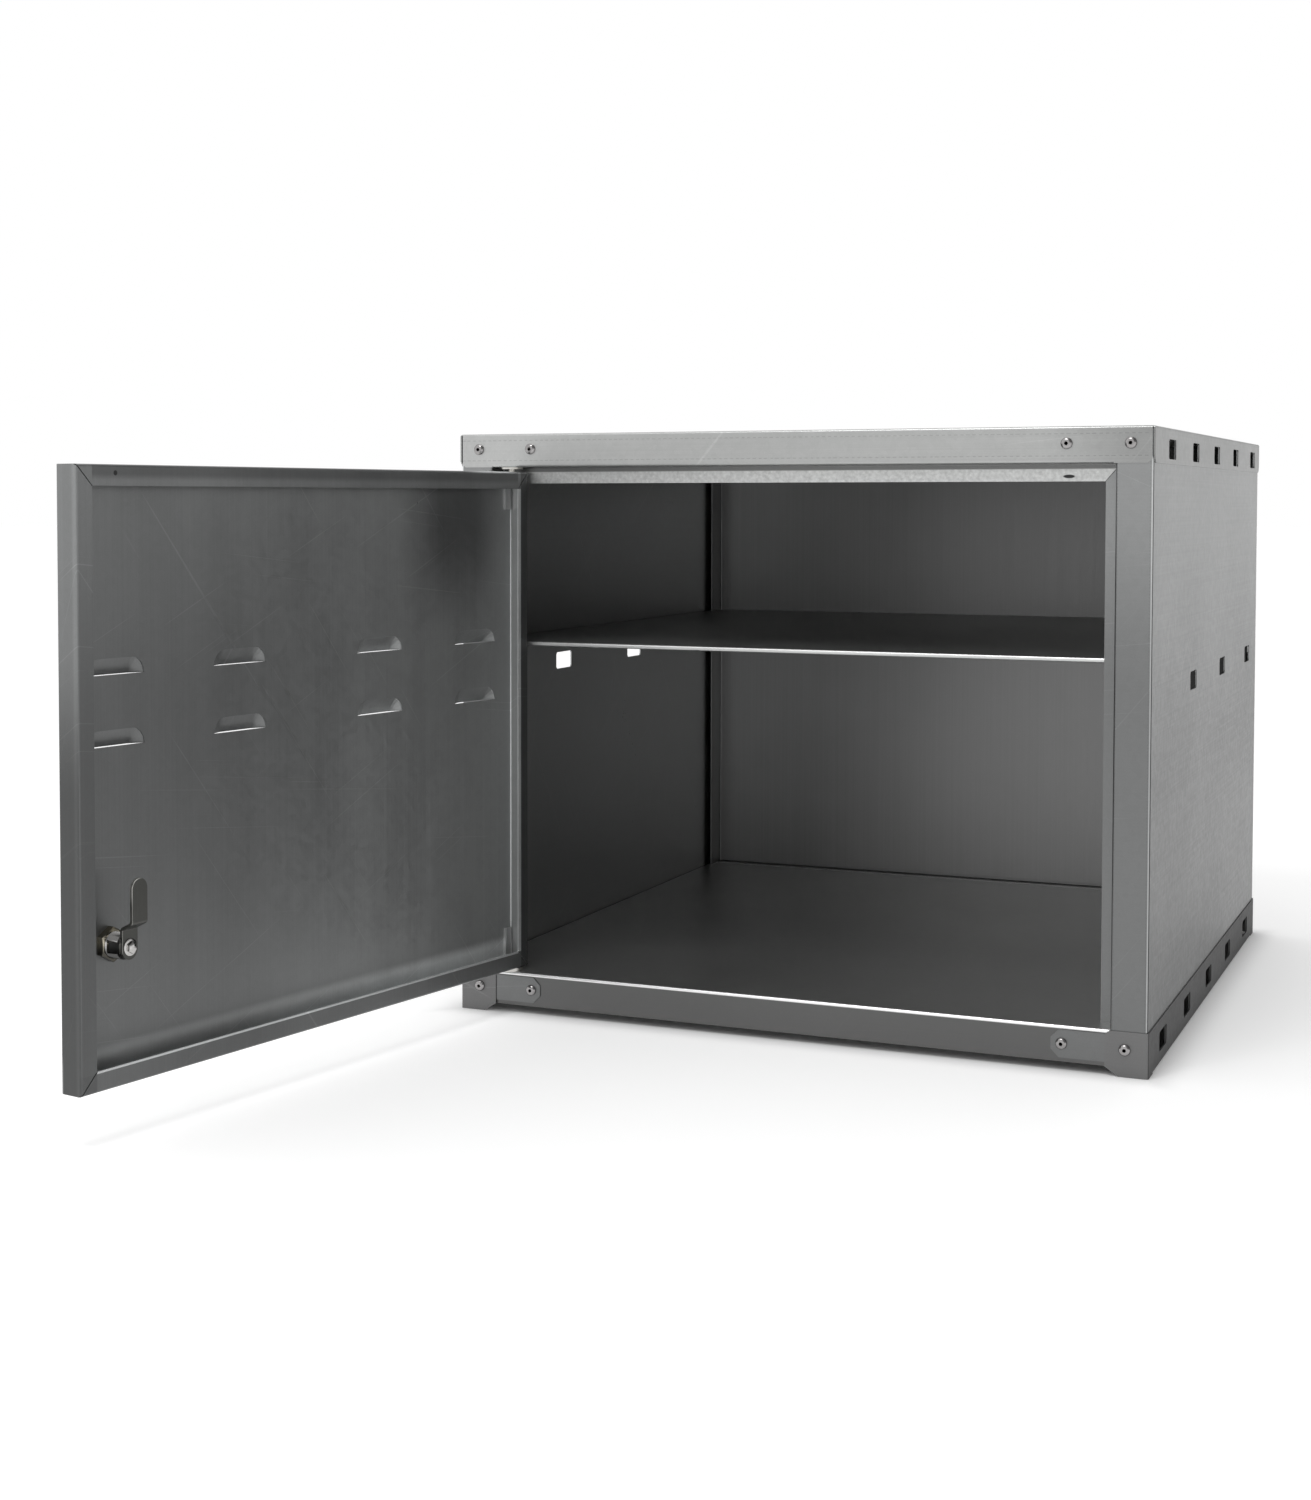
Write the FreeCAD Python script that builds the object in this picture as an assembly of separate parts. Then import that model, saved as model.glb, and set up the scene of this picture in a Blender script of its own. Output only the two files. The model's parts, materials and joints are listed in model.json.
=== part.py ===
import FreeCAD, Part
import math
import os

# A steel storage cupboard of folded galvanised sheet, with one louvred door on pivot pins.
# Millimetres. The origin is on the ground at the middle of the body, +Z is up and the front faces -Y.
# The door is drawn shut and then swung about its pivot to the angle at which it stands open.

# Overall sizes of the body
width = 600.0
depth = 650.0
height = 510.0

# Sheet metal
sheet = 1.0
bend_radius = 2.0
overrun = 5.0

# Lid and lintel
lid_flange_height = 29.0
lintel_lip_height = 14.0
lintel_end_gap = 0.3
corner_slit = 1.2
lid_corner_chamfer = 5.0

# Side panels
stile_width = 30.0
stop_setback = 24.7
stile_lip_width = 12.0
mitre_gap = 0.6
tab_reach = 46.5
tab_height = 22.5
tab_chamfer = 6.5

# Floor tray and base rails
floor_height = 36.0
apron_clearance = 7.0
foot_width = 34.0
foot_low_chamfer_width = 11.0
foot_top_chamfer = 3.5
rail_fold_width = 20.0
rail_fold_setback = 20.0

# Slotted fixing rows, alike on both sides. Their places along the sides are shares of the depth
slot_length = 36.0
slot_height = 16.0
slot_corner_radius = 3.0
slot_count = 5
slot_pitch_share = 0.1966
lid_slot_first_share = 0.1308
lid_slot_level_share = 0.41
wall_slot_count = 3
wall_slot_pitch_share = 0.2762
wall_slot_first_share = 0.3363
wall_slot_level = 297.0
notch_gap = 2.0

# Back panel
back_side_gap = 4.5
back_flange_depth = 30.0
back_edge_flange_depth = 12.0

# Shelf and its brackets
shelf_top = 327.0
shelf_side_gap = 1.0
shelf_stop_gap = 0.8
shelf_flange_height = 10.0
shelf_hem_depth = 12.0
bracket_sheet = 1.5
bracket_length = 16.0
bracket_leg = 20.0

# Button-head screws, drawn with few faces. Their heads hide the shanks and holes, which are hexagons
shank_flats = 5.0
shank_gap = 0.05
screw_length = 10.0
screw_head_flats = 9.4
screw_crown_flats = 5.8
screw_head_sides = 12
screw_head_height = 2.8
screw_socket_flats = 3.0
screw_socket_depth = 1.6
screw_outer_inset = 18.4
screw_inner_inset = 68.0
base_screw_level = 21.6
lid_screw_drop = 13.4

# Door
door_side_gap = 4.0
door_bottom_gap = 3.0
door_top_gap = 4.0
door_thickness = 20.0
door_lip_width = 15.0
door_open_angle = 100.4
pivot_inset = 10.8

# Louvres pressed out of the door skin, in rows that mirror about its middle
louvre_length = 60.0
louvre_height = 13.0
louvre_depth = 6.0
louvre_rim = 1.2
louvre_inner_offset = 83.3
louvre_pitch = 129.6
louvre_row_drop = 150.0
louvre_row_pitch = 51.0
louvre_rows = 2
louvre_end_facets = 4

# Pivot pins, brackets and bushes
pin_radius = 3.0
pin_reach = 12.0
pin_head_radius = 5.0
pin_head_height = 3.0
running_gap = 0.05
bush_flats = 10.0
bush_flange_radius = 10.0
bush_flange_thickness = 1.6
bush_tail = 2.0
hinge_bracket_sheet = 2.0
hinge_bracket_width = 20.0
hinge_bracket_leg_width = 7.6
hinge_bracket_height = 33.0
hinge_bracket_taper = 1.0

# Cam lock
lock_inset = 45.0
lock_level = 98.0
lock_radius = 9.5
lock_flat_half = 8.25
lock_length = 20.0
lock_head_radius = 12.0
lock_head_height = 3.0
lock_nut_flats = 22.0
lock_nut_height = 6.0
lock_nut_gap = 0.05
plug_radius = 6.0
plug_square = 7.0
key_slot_width = 1.4
key_slot_length = 7.0
key_slot_depth = 2.5
cam_sheet = 2.0
cam_width = 15.0
cam_length = 50.0
cam_heel = 9.0
cam_crank_start = 14.0
cam_crank_rise = 5.0
cam_crank_depth = 10.0
cam_gap = 0.3
cam_screw_flats = 10.0
cam_screw_height = 4.0
cam_screw_length = 9.0
cam_screw_radius = 2.5
cam_bend_radius = 3.0

# Planes and places worked out from the sizes above
half_width = width / 2
half_depth = depth / 2
skin_x = half_width - sheet
skin_y = half_depth - sheet
inner_x = skin_x - sheet
inner_y = skin_y - sheet
inner_bend = bend_radius - sheet
lid_under = height - sheet
wall_top = lid_under - inner_bend
lintel_level = height - lid_flange_height
stile_edge = half_width - stile_width
stop_y = -skin_y + stop_setback
lip_edge = stile_edge - stile_lip_width
lip_bottom = lintel_level - lintel_lip_height
lid_screw_level = height - lid_screw_drop
slot_pitch = depth * slot_pitch_share
lid_slot_first = depth * lid_slot_first_share
lid_slot_level = lintel_level + lid_flange_height * lid_slot_level_share
wall_slot_pitch = depth * wall_slot_pitch_share
wall_slot_first = depth * wall_slot_first_share
base_slot_level = floor_height / 2
base_slot_first = half_depth - slot_pitch * (slot_count - 1) / 2
screw_columns = (half_width - screw_outer_inset, half_width - screw_inner_inset)

door_left = -stile_edge + door_side_gap
door_right = stile_edge - door_side_gap
door_bottom = floor_height + door_bottom_gap
door_top = lintel_level - door_top_gap
door_front = -skin_y
door_back = door_front + door_thickness
pivot = FreeCAD.Vector(door_left + pivot_inset, door_front + door_thickness / 2, 0)
lock_x = door_right - lock_inset
lock_z = door_bottom + lock_level


def box(low, high):
    """Box between two opposite corners."""
    size = [top - bottom for bottom, top in zip(low, high)]
    return Part.makeBox(size[0], size[1], size[2], FreeCAD.Vector(*low))


def on_xy(a, b):
    return FreeCAD.Vector(a, b, 0)


def on_xz(a, b):
    return FreeCAD.Vector(a, 0, b)


def on_yz(a, b):
    return FreeCAD.Vector(0, a, b)


def rounded_face(corners, plane):
    """Face through flat corners, each given as (a, b, radius), drawn on one of the three planes."""
    stops = []
    count = len(corners)
    for index, (a, b, radius) in enumerate(corners):
        before = corners[index - 1]
        after = corners[(index + 1) % count]
        to_before = FreeCAD.Vector(before[0] - a, before[1] - b, 0).normalize()
        to_after = FreeCAD.Vector(after[0] - a, after[1] - b, 0).normalize()
        corner = FreeCAD.Vector(a, b, 0)
        if radius <= 0:
            stops.append((corner, None, corner))
            continue
        half_angle = to_before.getAngle(to_after) / 2
        reach = radius / math.tan(half_angle)
        bisector = (to_before + to_after).normalize()
        middle = corner + bisector * (radius / math.sin(half_angle) - radius)
        stops.append((corner + to_before * reach, middle, corner + to_after * reach))
    edges = []
    for index, (start, middle, end) in enumerate(stops):
        if middle is not None:
            arc_points = [plane(p.x, p.y) for p in (start, middle, end)]
            edges.append(Part.Arc(*arc_points).toShape())
        following = stops[(index + 1) % count][0]
        if end.distanceToPoint(following) > sheet / 1000:
            edges.append(Part.LineSegment(plane(end.x, end.y), plane(following.x, following.y)).toShape())
    return Part.Face(Part.Wire(edges))


def folded_section(points, side, plane, thickness=sheet, radius=bend_radius):
    """Cross-section of a folded sheet whose one face runs through the points, metal to the given side.

    side is 1 when the metal lies to the left of the way that the points run, and -1 to the right.
    """
    flat = [FreeCAD.Vector(a, b, 0) for a, b in points]
    normals = []
    for start, end in zip(flat, flat[1:]):
        way = (end - start).normalize()
        normals.append(FreeCAD.Vector(-way.y, way.x, 0) * side)
    near = []
    far = []
    last = len(flat) - 1
    for index, point in enumerate(flat):
        first_normal = normals[max(index - 1, 0)]
        second_normal = normals[min(index, last - 1)]
        mean = first_normal + second_normal
        shift = mean * (thickness / (1 + first_normal.dot(second_normal)))
        if index in (0, last):
            near_radius = 0
            far_radius = 0
        else:
            way = flat[index] - flat[index - 1]
            turns_to_metal = way.cross(flat[index + 1] - flat[index]).z * side > 0
            near_radius = radius if turns_to_metal else radius - thickness
            far_radius = radius - thickness if turns_to_metal else radius
        near.append((point.x, point.y, near_radius))
        far.append((point.x + shift.x, point.y + shift.y, far_radius))
    return rounded_face(near + far[::-1], plane)


def along(face, start, end):
    """Solid of a face that is drawn through the origin, extruded from one place to another."""
    face = face.copy()
    face.translate(start)
    return face.extrude(end - start)


def along_x(face, low, high):
    return along(face, FreeCAD.Vector(low, 0, 0), FreeCAD.Vector(high, 0, 0))


def along_y(face, low, high):
    return along(face, FreeCAD.Vector(0, low, 0), FreeCAD.Vector(0, high, 0))


def along_z(face, low, high):
    return along(face, FreeCAD.Vector(0, 0, low), FreeCAD.Vector(0, 0, high))


def polygon(points, plane):
    return rounded_face([(a, b, 0) for a, b in points], plane)


def rod(centre, radius, length, direction):
    return Part.makeCylinder(radius, length, centre, direction)


def regular(sides, flats, plane, a=0, b=0):
    """Regular polygon face with an even number of sides and the given width across its flats."""
    corner = flats / 2 / math.cos(math.pi / sides)
    turns = [math.tau * step / sides for step in range(sides)]
    return polygon([(a + corner * math.cos(turn), b + corner * math.sin(turn)) for turn in turns], plane)


def hexagon(flats, plane, a=0, b=0):
    return regular(6, flats, plane, a, b)


def mirrored_x(shape):
    return shape.mirror(FreeCAD.Vector(0, 0, 0), FreeCAD.Vector(1, 0, 0))


def mirrored_y(shape):
    return shape.mirror(FreeCAD.Vector(0, 0, 0), FreeCAD.Vector(0, 1, 0))


def four_ways(shape):
    """The shape and its mirror images about the two upright middle planes."""
    pair = [shape, mirrored_x(shape)]
    return pair + [mirrored_y(one) for one in pair]


def cut_all(shape, tools):
    return shape.cut(Part.makeCompound(tools))


def save(node, shape):
    """Write one piece, or one group of alike pieces, as its own file."""
    shape = shape.removeSplitter()
    shape.exportStep(os.path.join("parts", node + ".step"))


def slot_cutters(first, pitch, count, level):
    """Slots with rounded corners through every sheet of the right side, in a row along the depth."""
    half_length = slot_length / 2
    half_height = slot_height / 2
    cutters = []
    for index in range(count):
        middle = -half_depth + first + pitch * index
        outline = [
            (middle - half_length, level - half_height, slot_corner_radius),
            (middle + half_length, level - half_height, slot_corner_radius),
            (middle + half_length, level + half_height, slot_corner_radius),
            (middle - half_length, level + half_height, slot_corner_radius),
        ]
        cutters.append(along_x(rounded_face(outline, on_yz), inner_x - overrun, half_width + overrun))
    return cutters


def lid_slots():
    return slot_cutters(lid_slot_first, slot_pitch, slot_count, lid_slot_level)


def base_slots():
    return slot_cutters(base_slot_first, slot_pitch, slot_count, base_slot_level)


def wall_slots():
    return slot_cutters(wall_slot_first, wall_slot_pitch, wall_slot_count, wall_slot_level)


def screw_holes(level):
    """Holes of one level through every sheet: two screws at each front corner, one at each rear corner."""
    holes = []
    for x in screw_columns:
        outline = hexagon(shank_flats + shank_gap * 2, on_xz, x, level)
        hole = along_y(outline, -half_depth - overrun, -inner_y + screw_length)
        holes += [hole, mirrored_x(hole)]
    outer_pair = holes[:2]
    return holes + [mirrored_y(hole) for hole in outer_pair]


def notches(first, low, high):
    """Openings in the sheets behind one slotted row of the right side, which leave room for its bolts."""
    reach = slot_length / 2 + notch_gap
    cutters = []
    for index in range(slot_count):
        middle = -half_depth + first + slot_pitch * index
        low_corner = (inner_x - overrun, middle - reach, low)
        cutters.append(box(low_corner, (skin_x + sheet / 2, middle + reach, high)))
    return cutters


def base_notches():
    """Openings behind the base slots, open at the lower edge."""
    return notches(base_slot_first, -overrun, base_slot_level + slot_height / 2 + notch_gap)


def folded_tray(low, high):
    """Plate with four flanges folded down, its corners slit where the flanges meet."""
    outer = box(low, high)
    inner_low = (low[0] + sheet, low[1] + sheet, low[2] - overrun)
    inner_high = (high[0] - sheet, high[1] - sheet, high[2] - sheet)
    inner = box(inner_low, inner_high)
    shells = []
    for solid, radius in ((outer, bend_radius), (inner, bend_radius - sheet)):
        top = solid.BoundBox.ZMax
        rim = [edge for edge in solid.Edges if abs(edge.BoundBox.ZMin - top) < sheet / 10]
        shells.append(solid.makeFillet(radius, rim))
    tray = shells[0].cut(shells[1])
    slit_low = (high[0] - sheet - corner_slit, low[1] - overrun, low[2] - overrun)
    slit_high = (high[0] - sheet, low[1] + bend_radius, high[2] - sheet)
    return cut_all(tray, four_ways(box(slit_low, slit_high)))


def lid_panel():
    """Lid with flanges on four sides, its front one folded back and down again as the lintel."""
    tray = folded_tray((-half_width, -half_depth, lintel_level), (half_width, half_depth, height))
    lintel_half = stile_edge - sheet - lintel_end_gap
    split_level = lintel_level + lid_flange_height / 2
    flange_room = box(
        (-lintel_half, -half_depth - overrun, lintel_level - overrun),
        (lintel_half, -half_depth + sheet, split_level),
    )
    lintel_path = [
        (-half_depth, split_level),
        (-half_depth, lintel_level),
        (stop_y, lintel_level),
        (stop_y, lip_bottom),
    ]
    lintel = along_x(folded_section(lintel_path, 1, on_yz), -lintel_half, lintel_half)
    mitre = polygon(
        [
            (lip_edge - mitre_gap, lip_bottom),
            (stile_edge - mitre_gap, lintel_level),
            (half_width, lintel_level),
            (half_width, lip_bottom - overrun),
            (lip_edge - mitre_gap, lip_bottom - overrun),
        ],
        on_xz,
    )
    mitre_cut = along_y(mitre, stop_y - overrun, stop_y + overrun)
    lintel = cut_all(lintel, [mitre_cut, mirrored_x(mitre_cut)])
    lid = tray.cut(flange_room).fuse(lintel)
    front_chamfer = polygon(
        [
            (half_width + overrun, lintel_level - overrun),
            (half_width + overrun, lintel_level + lid_corner_chamfer + overrun),
            (half_width - lid_corner_chamfer - overrun, lintel_level - overrun),
        ],
        on_xz,
    )
    side_chamfer = polygon(
        [
            (-half_depth - overrun, lintel_level - overrun),
            (-half_depth - overrun, lintel_level + lid_corner_chamfer + overrun),
            (-half_depth + lid_corner_chamfer + overrun, lintel_level - overrun),
        ],
        on_yz,
    )
    cuts = four_ways(along_y(front_chamfer, -half_depth - overrun, -half_depth + sheet))
    cuts += four_ways(along_x(side_chamfer, skin_x, half_width + overrun))
    for slot in lid_slots():
        cuts += [slot, mirrored_x(slot)]
    cuts += screw_holes(lid_screw_level)
    cuts.append(bush_hole(lintel_level))
    return cut_all(lid, cuts)


def tab(level):
    """Flat tab that reaches inward from the stile, with a chamfered end."""
    end = stile_edge - tab_reach
    half = tab_height / 2
    outline = [
        (stile_edge + bend_radius, level - half),
        (end + tab_chamfer, level - half),
        (end, level - half + tab_chamfer),
        (end, level + half - tab_chamfer),
        (end + tab_chamfer, level + half),
        (stile_edge + bend_radius, level + half),
    ]
    return along_y(polygon(outline, on_xz), -skin_y, -skin_y + sheet)


def side_panel():
    """Right side: wall, front stile with its door stop, two tabs and rear stile, folded from one sheet."""
    face_end = stile_edge + bend_radius * 2
    wall_path = [(face_end, -skin_y), (skin_x, -skin_y), (skin_x, skin_y), (face_end, skin_y)]
    panel = along_z(folded_section(wall_path, 1, on_xy), apron_clearance, wall_top)
    wall_foot = box(
        (inner_x, -skin_y + bend_radius, bend_radius),
        (skin_x, skin_y - bend_radius, apron_clearance),
    )
    stop_path = [
        (face_end, -skin_y),
        (stile_edge, -skin_y),
        (stile_edge, stop_y),
        (lip_edge, stop_y),
    ]
    stop = along_z(folded_section(stop_path, -1, on_xy), floor_height, lintel_level)
    mitre = polygon(
        [
            (lip_edge, lip_bottom),
            (stile_edge, lintel_level),
            (lip_edge - overrun, lintel_level),
            (lip_edge - overrun, lip_bottom),
        ],
        on_xz,
    )
    stop = stop.cut(along_y(mitre, stop_y - bend_radius, stop_y + overrun))
    front_low = box((stile_edge, -skin_y, apron_clearance), (face_end, -inner_y, floor_height))
    front_high = box((stile_edge, -skin_y, lintel_level), (face_end, -inner_y, wall_top))
    rear = box((stile_edge, inner_y, apron_clearance), (face_end, skin_y, wall_top))
    pieces = [wall_foot, stop, front_low, front_high, rear]
    pieces += [tab(base_screw_level), tab(lid_screw_level)]
    panel = panel.fuse(pieces)
    lid_notch_low = lid_slot_level - slot_height / 2 - notch_gap
    cuts = wall_slots() + notches(lid_slot_first, lid_notch_low, height) + base_notches()
    cuts += screw_holes(lid_screw_level) + screw_holes(base_screw_level)
    return cut_all(panel, cuts)


def base_rail():
    """Right base rail: upright plate folded round both ends as foot plates, and inward along its foot."""
    foot_edge = half_width - foot_width
    path = [
        (foot_edge, -half_depth),
        (half_width, -half_depth),
        (half_width, half_depth),
        (foot_edge, half_depth),
    ]
    rail = along_z(folded_section(path, 1, on_xy), 0, floor_height)
    fold_half = half_depth - rail_fold_setback
    fold_split = base_slot_level / 2
    fold_room = box((skin_x - overrun, -fold_half, -overrun), (half_width + overrun, fold_half, fold_split))
    fold_path = [(half_width, fold_split), (half_width, 0), (half_width - rail_fold_width, 0)]
    fold = along_y(folded_section(fold_path, -1, on_xz), -fold_half, fold_half)
    rail = rail.cut(fold_room).fuse(fold)
    low_chamfer = polygon(
        [
            (foot_edge - overrun, apron_clearance),
            (foot_edge, apron_clearance),
            (foot_edge + foot_low_chamfer_width, 0),
            (foot_edge + foot_low_chamfer_width, -overrun),
            (foot_edge - overrun, -overrun),
        ],
        on_xz,
    )
    top_chamfer = polygon(
        [
            (foot_edge - overrun, floor_height + overrun),
            (foot_edge + foot_top_chamfer + overrun, floor_height + overrun),
            (foot_edge - overrun, floor_height - foot_top_chamfer - overrun),
        ],
        on_xz,
    )
    cuts = []
    for outline in (low_chamfer, top_chamfer):
        cutter = along_y(outline, -half_depth - overrun, -half_depth + sheet)
        cuts += [cutter, mirrored_y(cutter)]
    cuts += base_slots() + screw_holes(base_screw_level)
    return cut_all(rail, cuts)


def bush_hole(level):
    """Hexagon hole for a pivot bush through the sheet that lies on the given level."""
    outline = hexagon(bush_flats, on_xy, pivot.x, pivot.y)
    return along_z(outline, level - overrun, level + overrun)


def floor_tray():
    """Floor with flanges folded down: the apron under the door, one behind and shallow ones at the sides."""
    tray = folded_tray((-inner_x, -inner_y, apron_clearance), (inner_x, inner_y, floor_height))
    apron_end = box(
        (stile_edge - lintel_end_gap, -inner_y - overrun, apron_clearance - overrun),
        (inner_x - sheet, -inner_y + sheet, floor_height - bend_radius),
    )
    corner = box(
        (inner_x - sheet, -inner_y - overrun, apron_clearance - overrun),
        (inner_x + overrun, -inner_y + inner_bend, floor_height + overrun),
    )
    side_room = box(
        (inner_x - sheet, -half_depth, -overrun),
        (inner_x + overrun, half_depth, base_slot_level + slot_height / 2 + notch_gap),
    )
    cuts = screw_holes(base_screw_level) + four_ways(apron_end) + four_ways(corner)
    cuts += [side_room, mirrored_x(side_room), bush_hole(floor_height)]
    return cut_all(tray, cuts)


def back_panel():
    """Back with deep side flanges that stand a little off the walls, and shallow ones above and below."""
    half = inner_x - back_side_gap
    flange_end = inner_y - back_flange_depth
    path = [(-half, flange_end), (-half, inner_y), (half, inner_y), (half, flange_end)]
    panel = along_z(folded_section(path, -1, on_xy), floor_height, lid_under)
    strip_half = half - bend_radius
    strip_height = bend_radius * 2
    edge_end = inner_y - back_edge_flange_depth
    low_path = [(inner_y, floor_height + strip_height), (inner_y, floor_height), (edge_end, floor_height)]
    high_path = [(inner_y, lid_under - strip_height), (inner_y, lid_under), (edge_end, lid_under)]
    low_room = box(
        (-strip_half, inner_y - sheet, floor_height - overrun),
        (strip_half, inner_y + overrun, floor_height + strip_height),
    )
    high_room = box(
        (-strip_half, inner_y - sheet, lid_under - strip_height),
        (strip_half, inner_y + overrun, lid_under + overrun),
    )
    panel = cut_all(panel, [low_room, high_room])
    low_strip = along_x(folded_section(low_path, -1, on_yz), -strip_half, strip_half)
    high_strip = along_x(folded_section(high_path, 1, on_yz), -strip_half, strip_half)
    panel = panel.fuse([low_strip, high_strip])
    return cut_all(panel, screw_holes(lid_screw_level))


def shelf():
    """Shelf with a rolled front hem, side flanges folded down and a tongue between the back's flanges."""
    half = inner_x - shelf_side_gap
    front = stop_y + sheet + shelf_stop_gap
    rear = inner_y - back_flange_depth - shelf_side_gap
    hem_height = bend_radius * 2
    path = [
        (front + shelf_hem_depth, shelf_top - hem_height),
        (front, shelf_top - hem_height),
        (front, shelf_top),
        (rear, shelf_top),
    ]
    plate = along_x(folded_section(path, -1, on_yz), -half, half)
    flange_start = half - bend_radius * 2
    flange_front = front + shelf_hem_depth
    flange_path = [
        (flange_start, shelf_top),
        (half, shelf_top),
        (half, shelf_top - shelf_flange_height),
    ]
    flange = along_y(folded_section(flange_path, -1, on_xz), flange_front, rear)
    flange_room = box(
        (flange_start, flange_front, shelf_top - shelf_flange_height),
        (half + overrun, rear + overrun, shelf_top + overrun),
    )
    plate = cut_all(plate, [flange_room, mirrored_x(flange_room)])
    tongue_half = inner_x - back_side_gap - sheet - shelf_side_gap
    tongue = box(
        (-tongue_half, rear, shelf_top - sheet),
        (tongue_half, inner_y - sheet - shelf_side_gap / 2, shelf_top),
    )
    return plate.fuse([flange, mirrored_x(flange), tongue])


def shelf_bracket(low):
    """Angle bracket on the right wall that carries the shelf's flange, from one place along the depth."""
    level = shelf_top - shelf_flange_height
    path = [
        (inner_x - bracket_leg, level),
        (inner_x, level),
        (inner_x, level - bracket_leg),
    ]
    radius = bend_radius + bracket_sheet - sheet
    section = folded_section(path, -1, on_xz, bracket_sheet, radius)
    return along_y(section, low, low + bracket_length)


def button_screw(place, way):
    """Button-head screw with a hexagon socket; way points from its head to its tip."""
    rim = regular(screw_head_sides, screw_head_flats, on_xy).OuterWire
    crown = regular(screw_head_sides, screw_crown_flats, on_xy).OuterWire
    crown.translate(FreeCAD.Vector(0, 0, screw_head_height))
    head = Part.makeLoft([rim, crown], True, True)
    socket = along_z(hexagon(screw_socket_flats, on_xy), screw_head_height - screw_socket_depth,
                     screw_head_height + overrun)
    shank = along_z(hexagon(shank_flats, on_xy), -screw_length, 0)
    screw = head.cut(socket).fuse(shank)
    screw.Placement = FreeCAD.Placement(place, FreeCAD.Rotation(FreeCAD.Vector(0, 0, -1), way))
    return screw


def screw_row(level, seats, sign):
    """Screws of one edge, a mirrored pair for each seat, which is how far out that pair's heads lie.

    sign is -1 for the front of the body and 1 for its rear.
    """
    screws = []
    for x, seat in zip(screw_columns, seats):
        for side in (-1, 1):
            place = FreeCAD.Vector(x * side, seat * sign, level)
            screws.append(button_screw(place, FreeCAD.Vector(0, -sign, 0)))
    return Part.makeCompound(screws)


def louvre_solid(length, rise, reach):
    """Blister of one louvre in the shut door: sloping middle and faceted round ends, flat below."""
    straight = length / 2 - rise
    right_rim = []
    for step in range(louvre_end_facets + 1):
        turn = math.pi / 2 * step / louvre_end_facets
        right_rim.append(FreeCAD.Vector(straight + rise * math.sin(turn), 0, rise * math.cos(turn)))
    left_rim = [FreeCAD.Vector(-point.x, 0, point.z) for point in right_rim]
    right_peak = FreeCAD.Vector(straight, -reach, 0)
    left_peak = FreeCAD.Vector(-straight, -reach, 0)
    outlines = [
        left_rim + right_rim[::-1],
        [right_peak, left_peak, left_rim[0], right_rim[0]],
        [left_rim[-1], left_peak, right_peak, right_rim[-1]],
    ]
    for rim, peak in ((right_rim, right_peak), (left_rim, left_peak)):
        outlines += [[start, end, peak] for start, end in zip(rim, rim[1:])]
    faces = [Part.Face(Part.makePolygon(outline + outline[:1])) for outline in outlines]
    return Part.Solid(Part.makeShell(faces))


def louvre(x, level):
    """Hood to add to the shut door and the window to cut through its skin, with the mouth below."""
    hood = louvre_solid(louvre_length, louvre_height, louvre_depth)
    hollow = louvre_solid(louvre_length - louvre_rim * 2, louvre_height - louvre_rim, louvre_depth - sheet)
    back = [face for face in hollow.Faces if face.BoundBox.YLength < sheet / 10][0]
    window = back.extrude(FreeCAD.Vector(0, sheet + overrun, 0))
    shift = FreeCAD.Vector(x, door_front, level)
    for shape in (hood, hollow, window):
        shape.translate(shift)
    return hood, hollow.fuse(window)


def louvre_places():
    middle = (door_left + door_right) / 2
    places = []
    for row in range(louvre_rows):
        level = door_top - louvre_row_drop + louvre_rim - louvre_row_pitch * row
        for offset in (louvre_inner_offset, louvre_inner_offset + louvre_pitch):
            places += [(middle - offset, level), (middle + offset, level)]
    return places


def door_box(grow, radius):
    """Closed box of the door, grown or shrunk on all sides, its front and back rims rounded."""
    solid = box(
        (door_left - grow, door_front - grow, door_bottom - grow),
        (door_right + grow, door_back + grow, door_top + grow),
    )
    rims = []
    for edge in solid.Edges:
        if edge.BoundBox.YLength < sheet / 10:
            rims.append(edge)
    return solid.makeFillet(radius, rims)


def door_panel():
    """Louvred door skin with its flanges and mitred lips, in its shut place."""
    shell = door_box(0, bend_radius).cut(door_box(-sheet, bend_radius - sheet))
    window = box(
        (door_left + door_lip_width, door_back - door_thickness / 2, door_bottom + door_lip_width),
        (door_right - door_lip_width, door_back + overrun, door_top - door_lip_width),
    )
    cuts = [window]
    for x, away in ((door_left, 1), (door_right, -1)):
        for z, up in ((door_bottom, 1), (door_top, -1)):
            outer = FreeCAD.Vector(x, 0, z)
            reach = door_lip_width + mitre_gap
            inner = FreeCAD.Vector(x + reach * away, 0, z + reach * up)
            aside = FreeCAD.Vector(mitre_gap / 2 * away, 0, -mitre_gap / 2 * up)
            corners = [outer + aside, inner + aside, inner - aside, outer - aside]
            slit = polygon([(corner.x, corner.z) for corner in corners], on_xz)
            cuts.append(along_y(slit, door_back - bend_radius, door_back + overrun))
    lock_hole = rod(FreeCAD.Vector(lock_x, door_front - overrun, lock_z), lock_radius,
                    sheet + overrun * 2, FreeCAD.Vector(0, 1, 0))
    pin_hole = rod(FreeCAD.Vector(pivot.x, pivot.y, door_bottom - overrun), pin_radius,
                   door_top - door_bottom + overrun * 2, FreeCAD.Vector(0, 0, 1))
    hoods = []
    for x, level in louvre_places():
        hood, opening = louvre(x, level)
        hoods.append(hood)
        cuts.append(opening)
    cuts += [lock_hole, pin_hole]
    return cut_all(shell.fuse(hoods), cuts)


def swung(shape):
    """The shape of a piece on the door, turned from its shut place to where the door stands open."""
    shape = shape.copy()
    shape.rotate(pivot, FreeCAD.Vector(0, 0, 1), -door_open_angle)
    return shape


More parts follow.
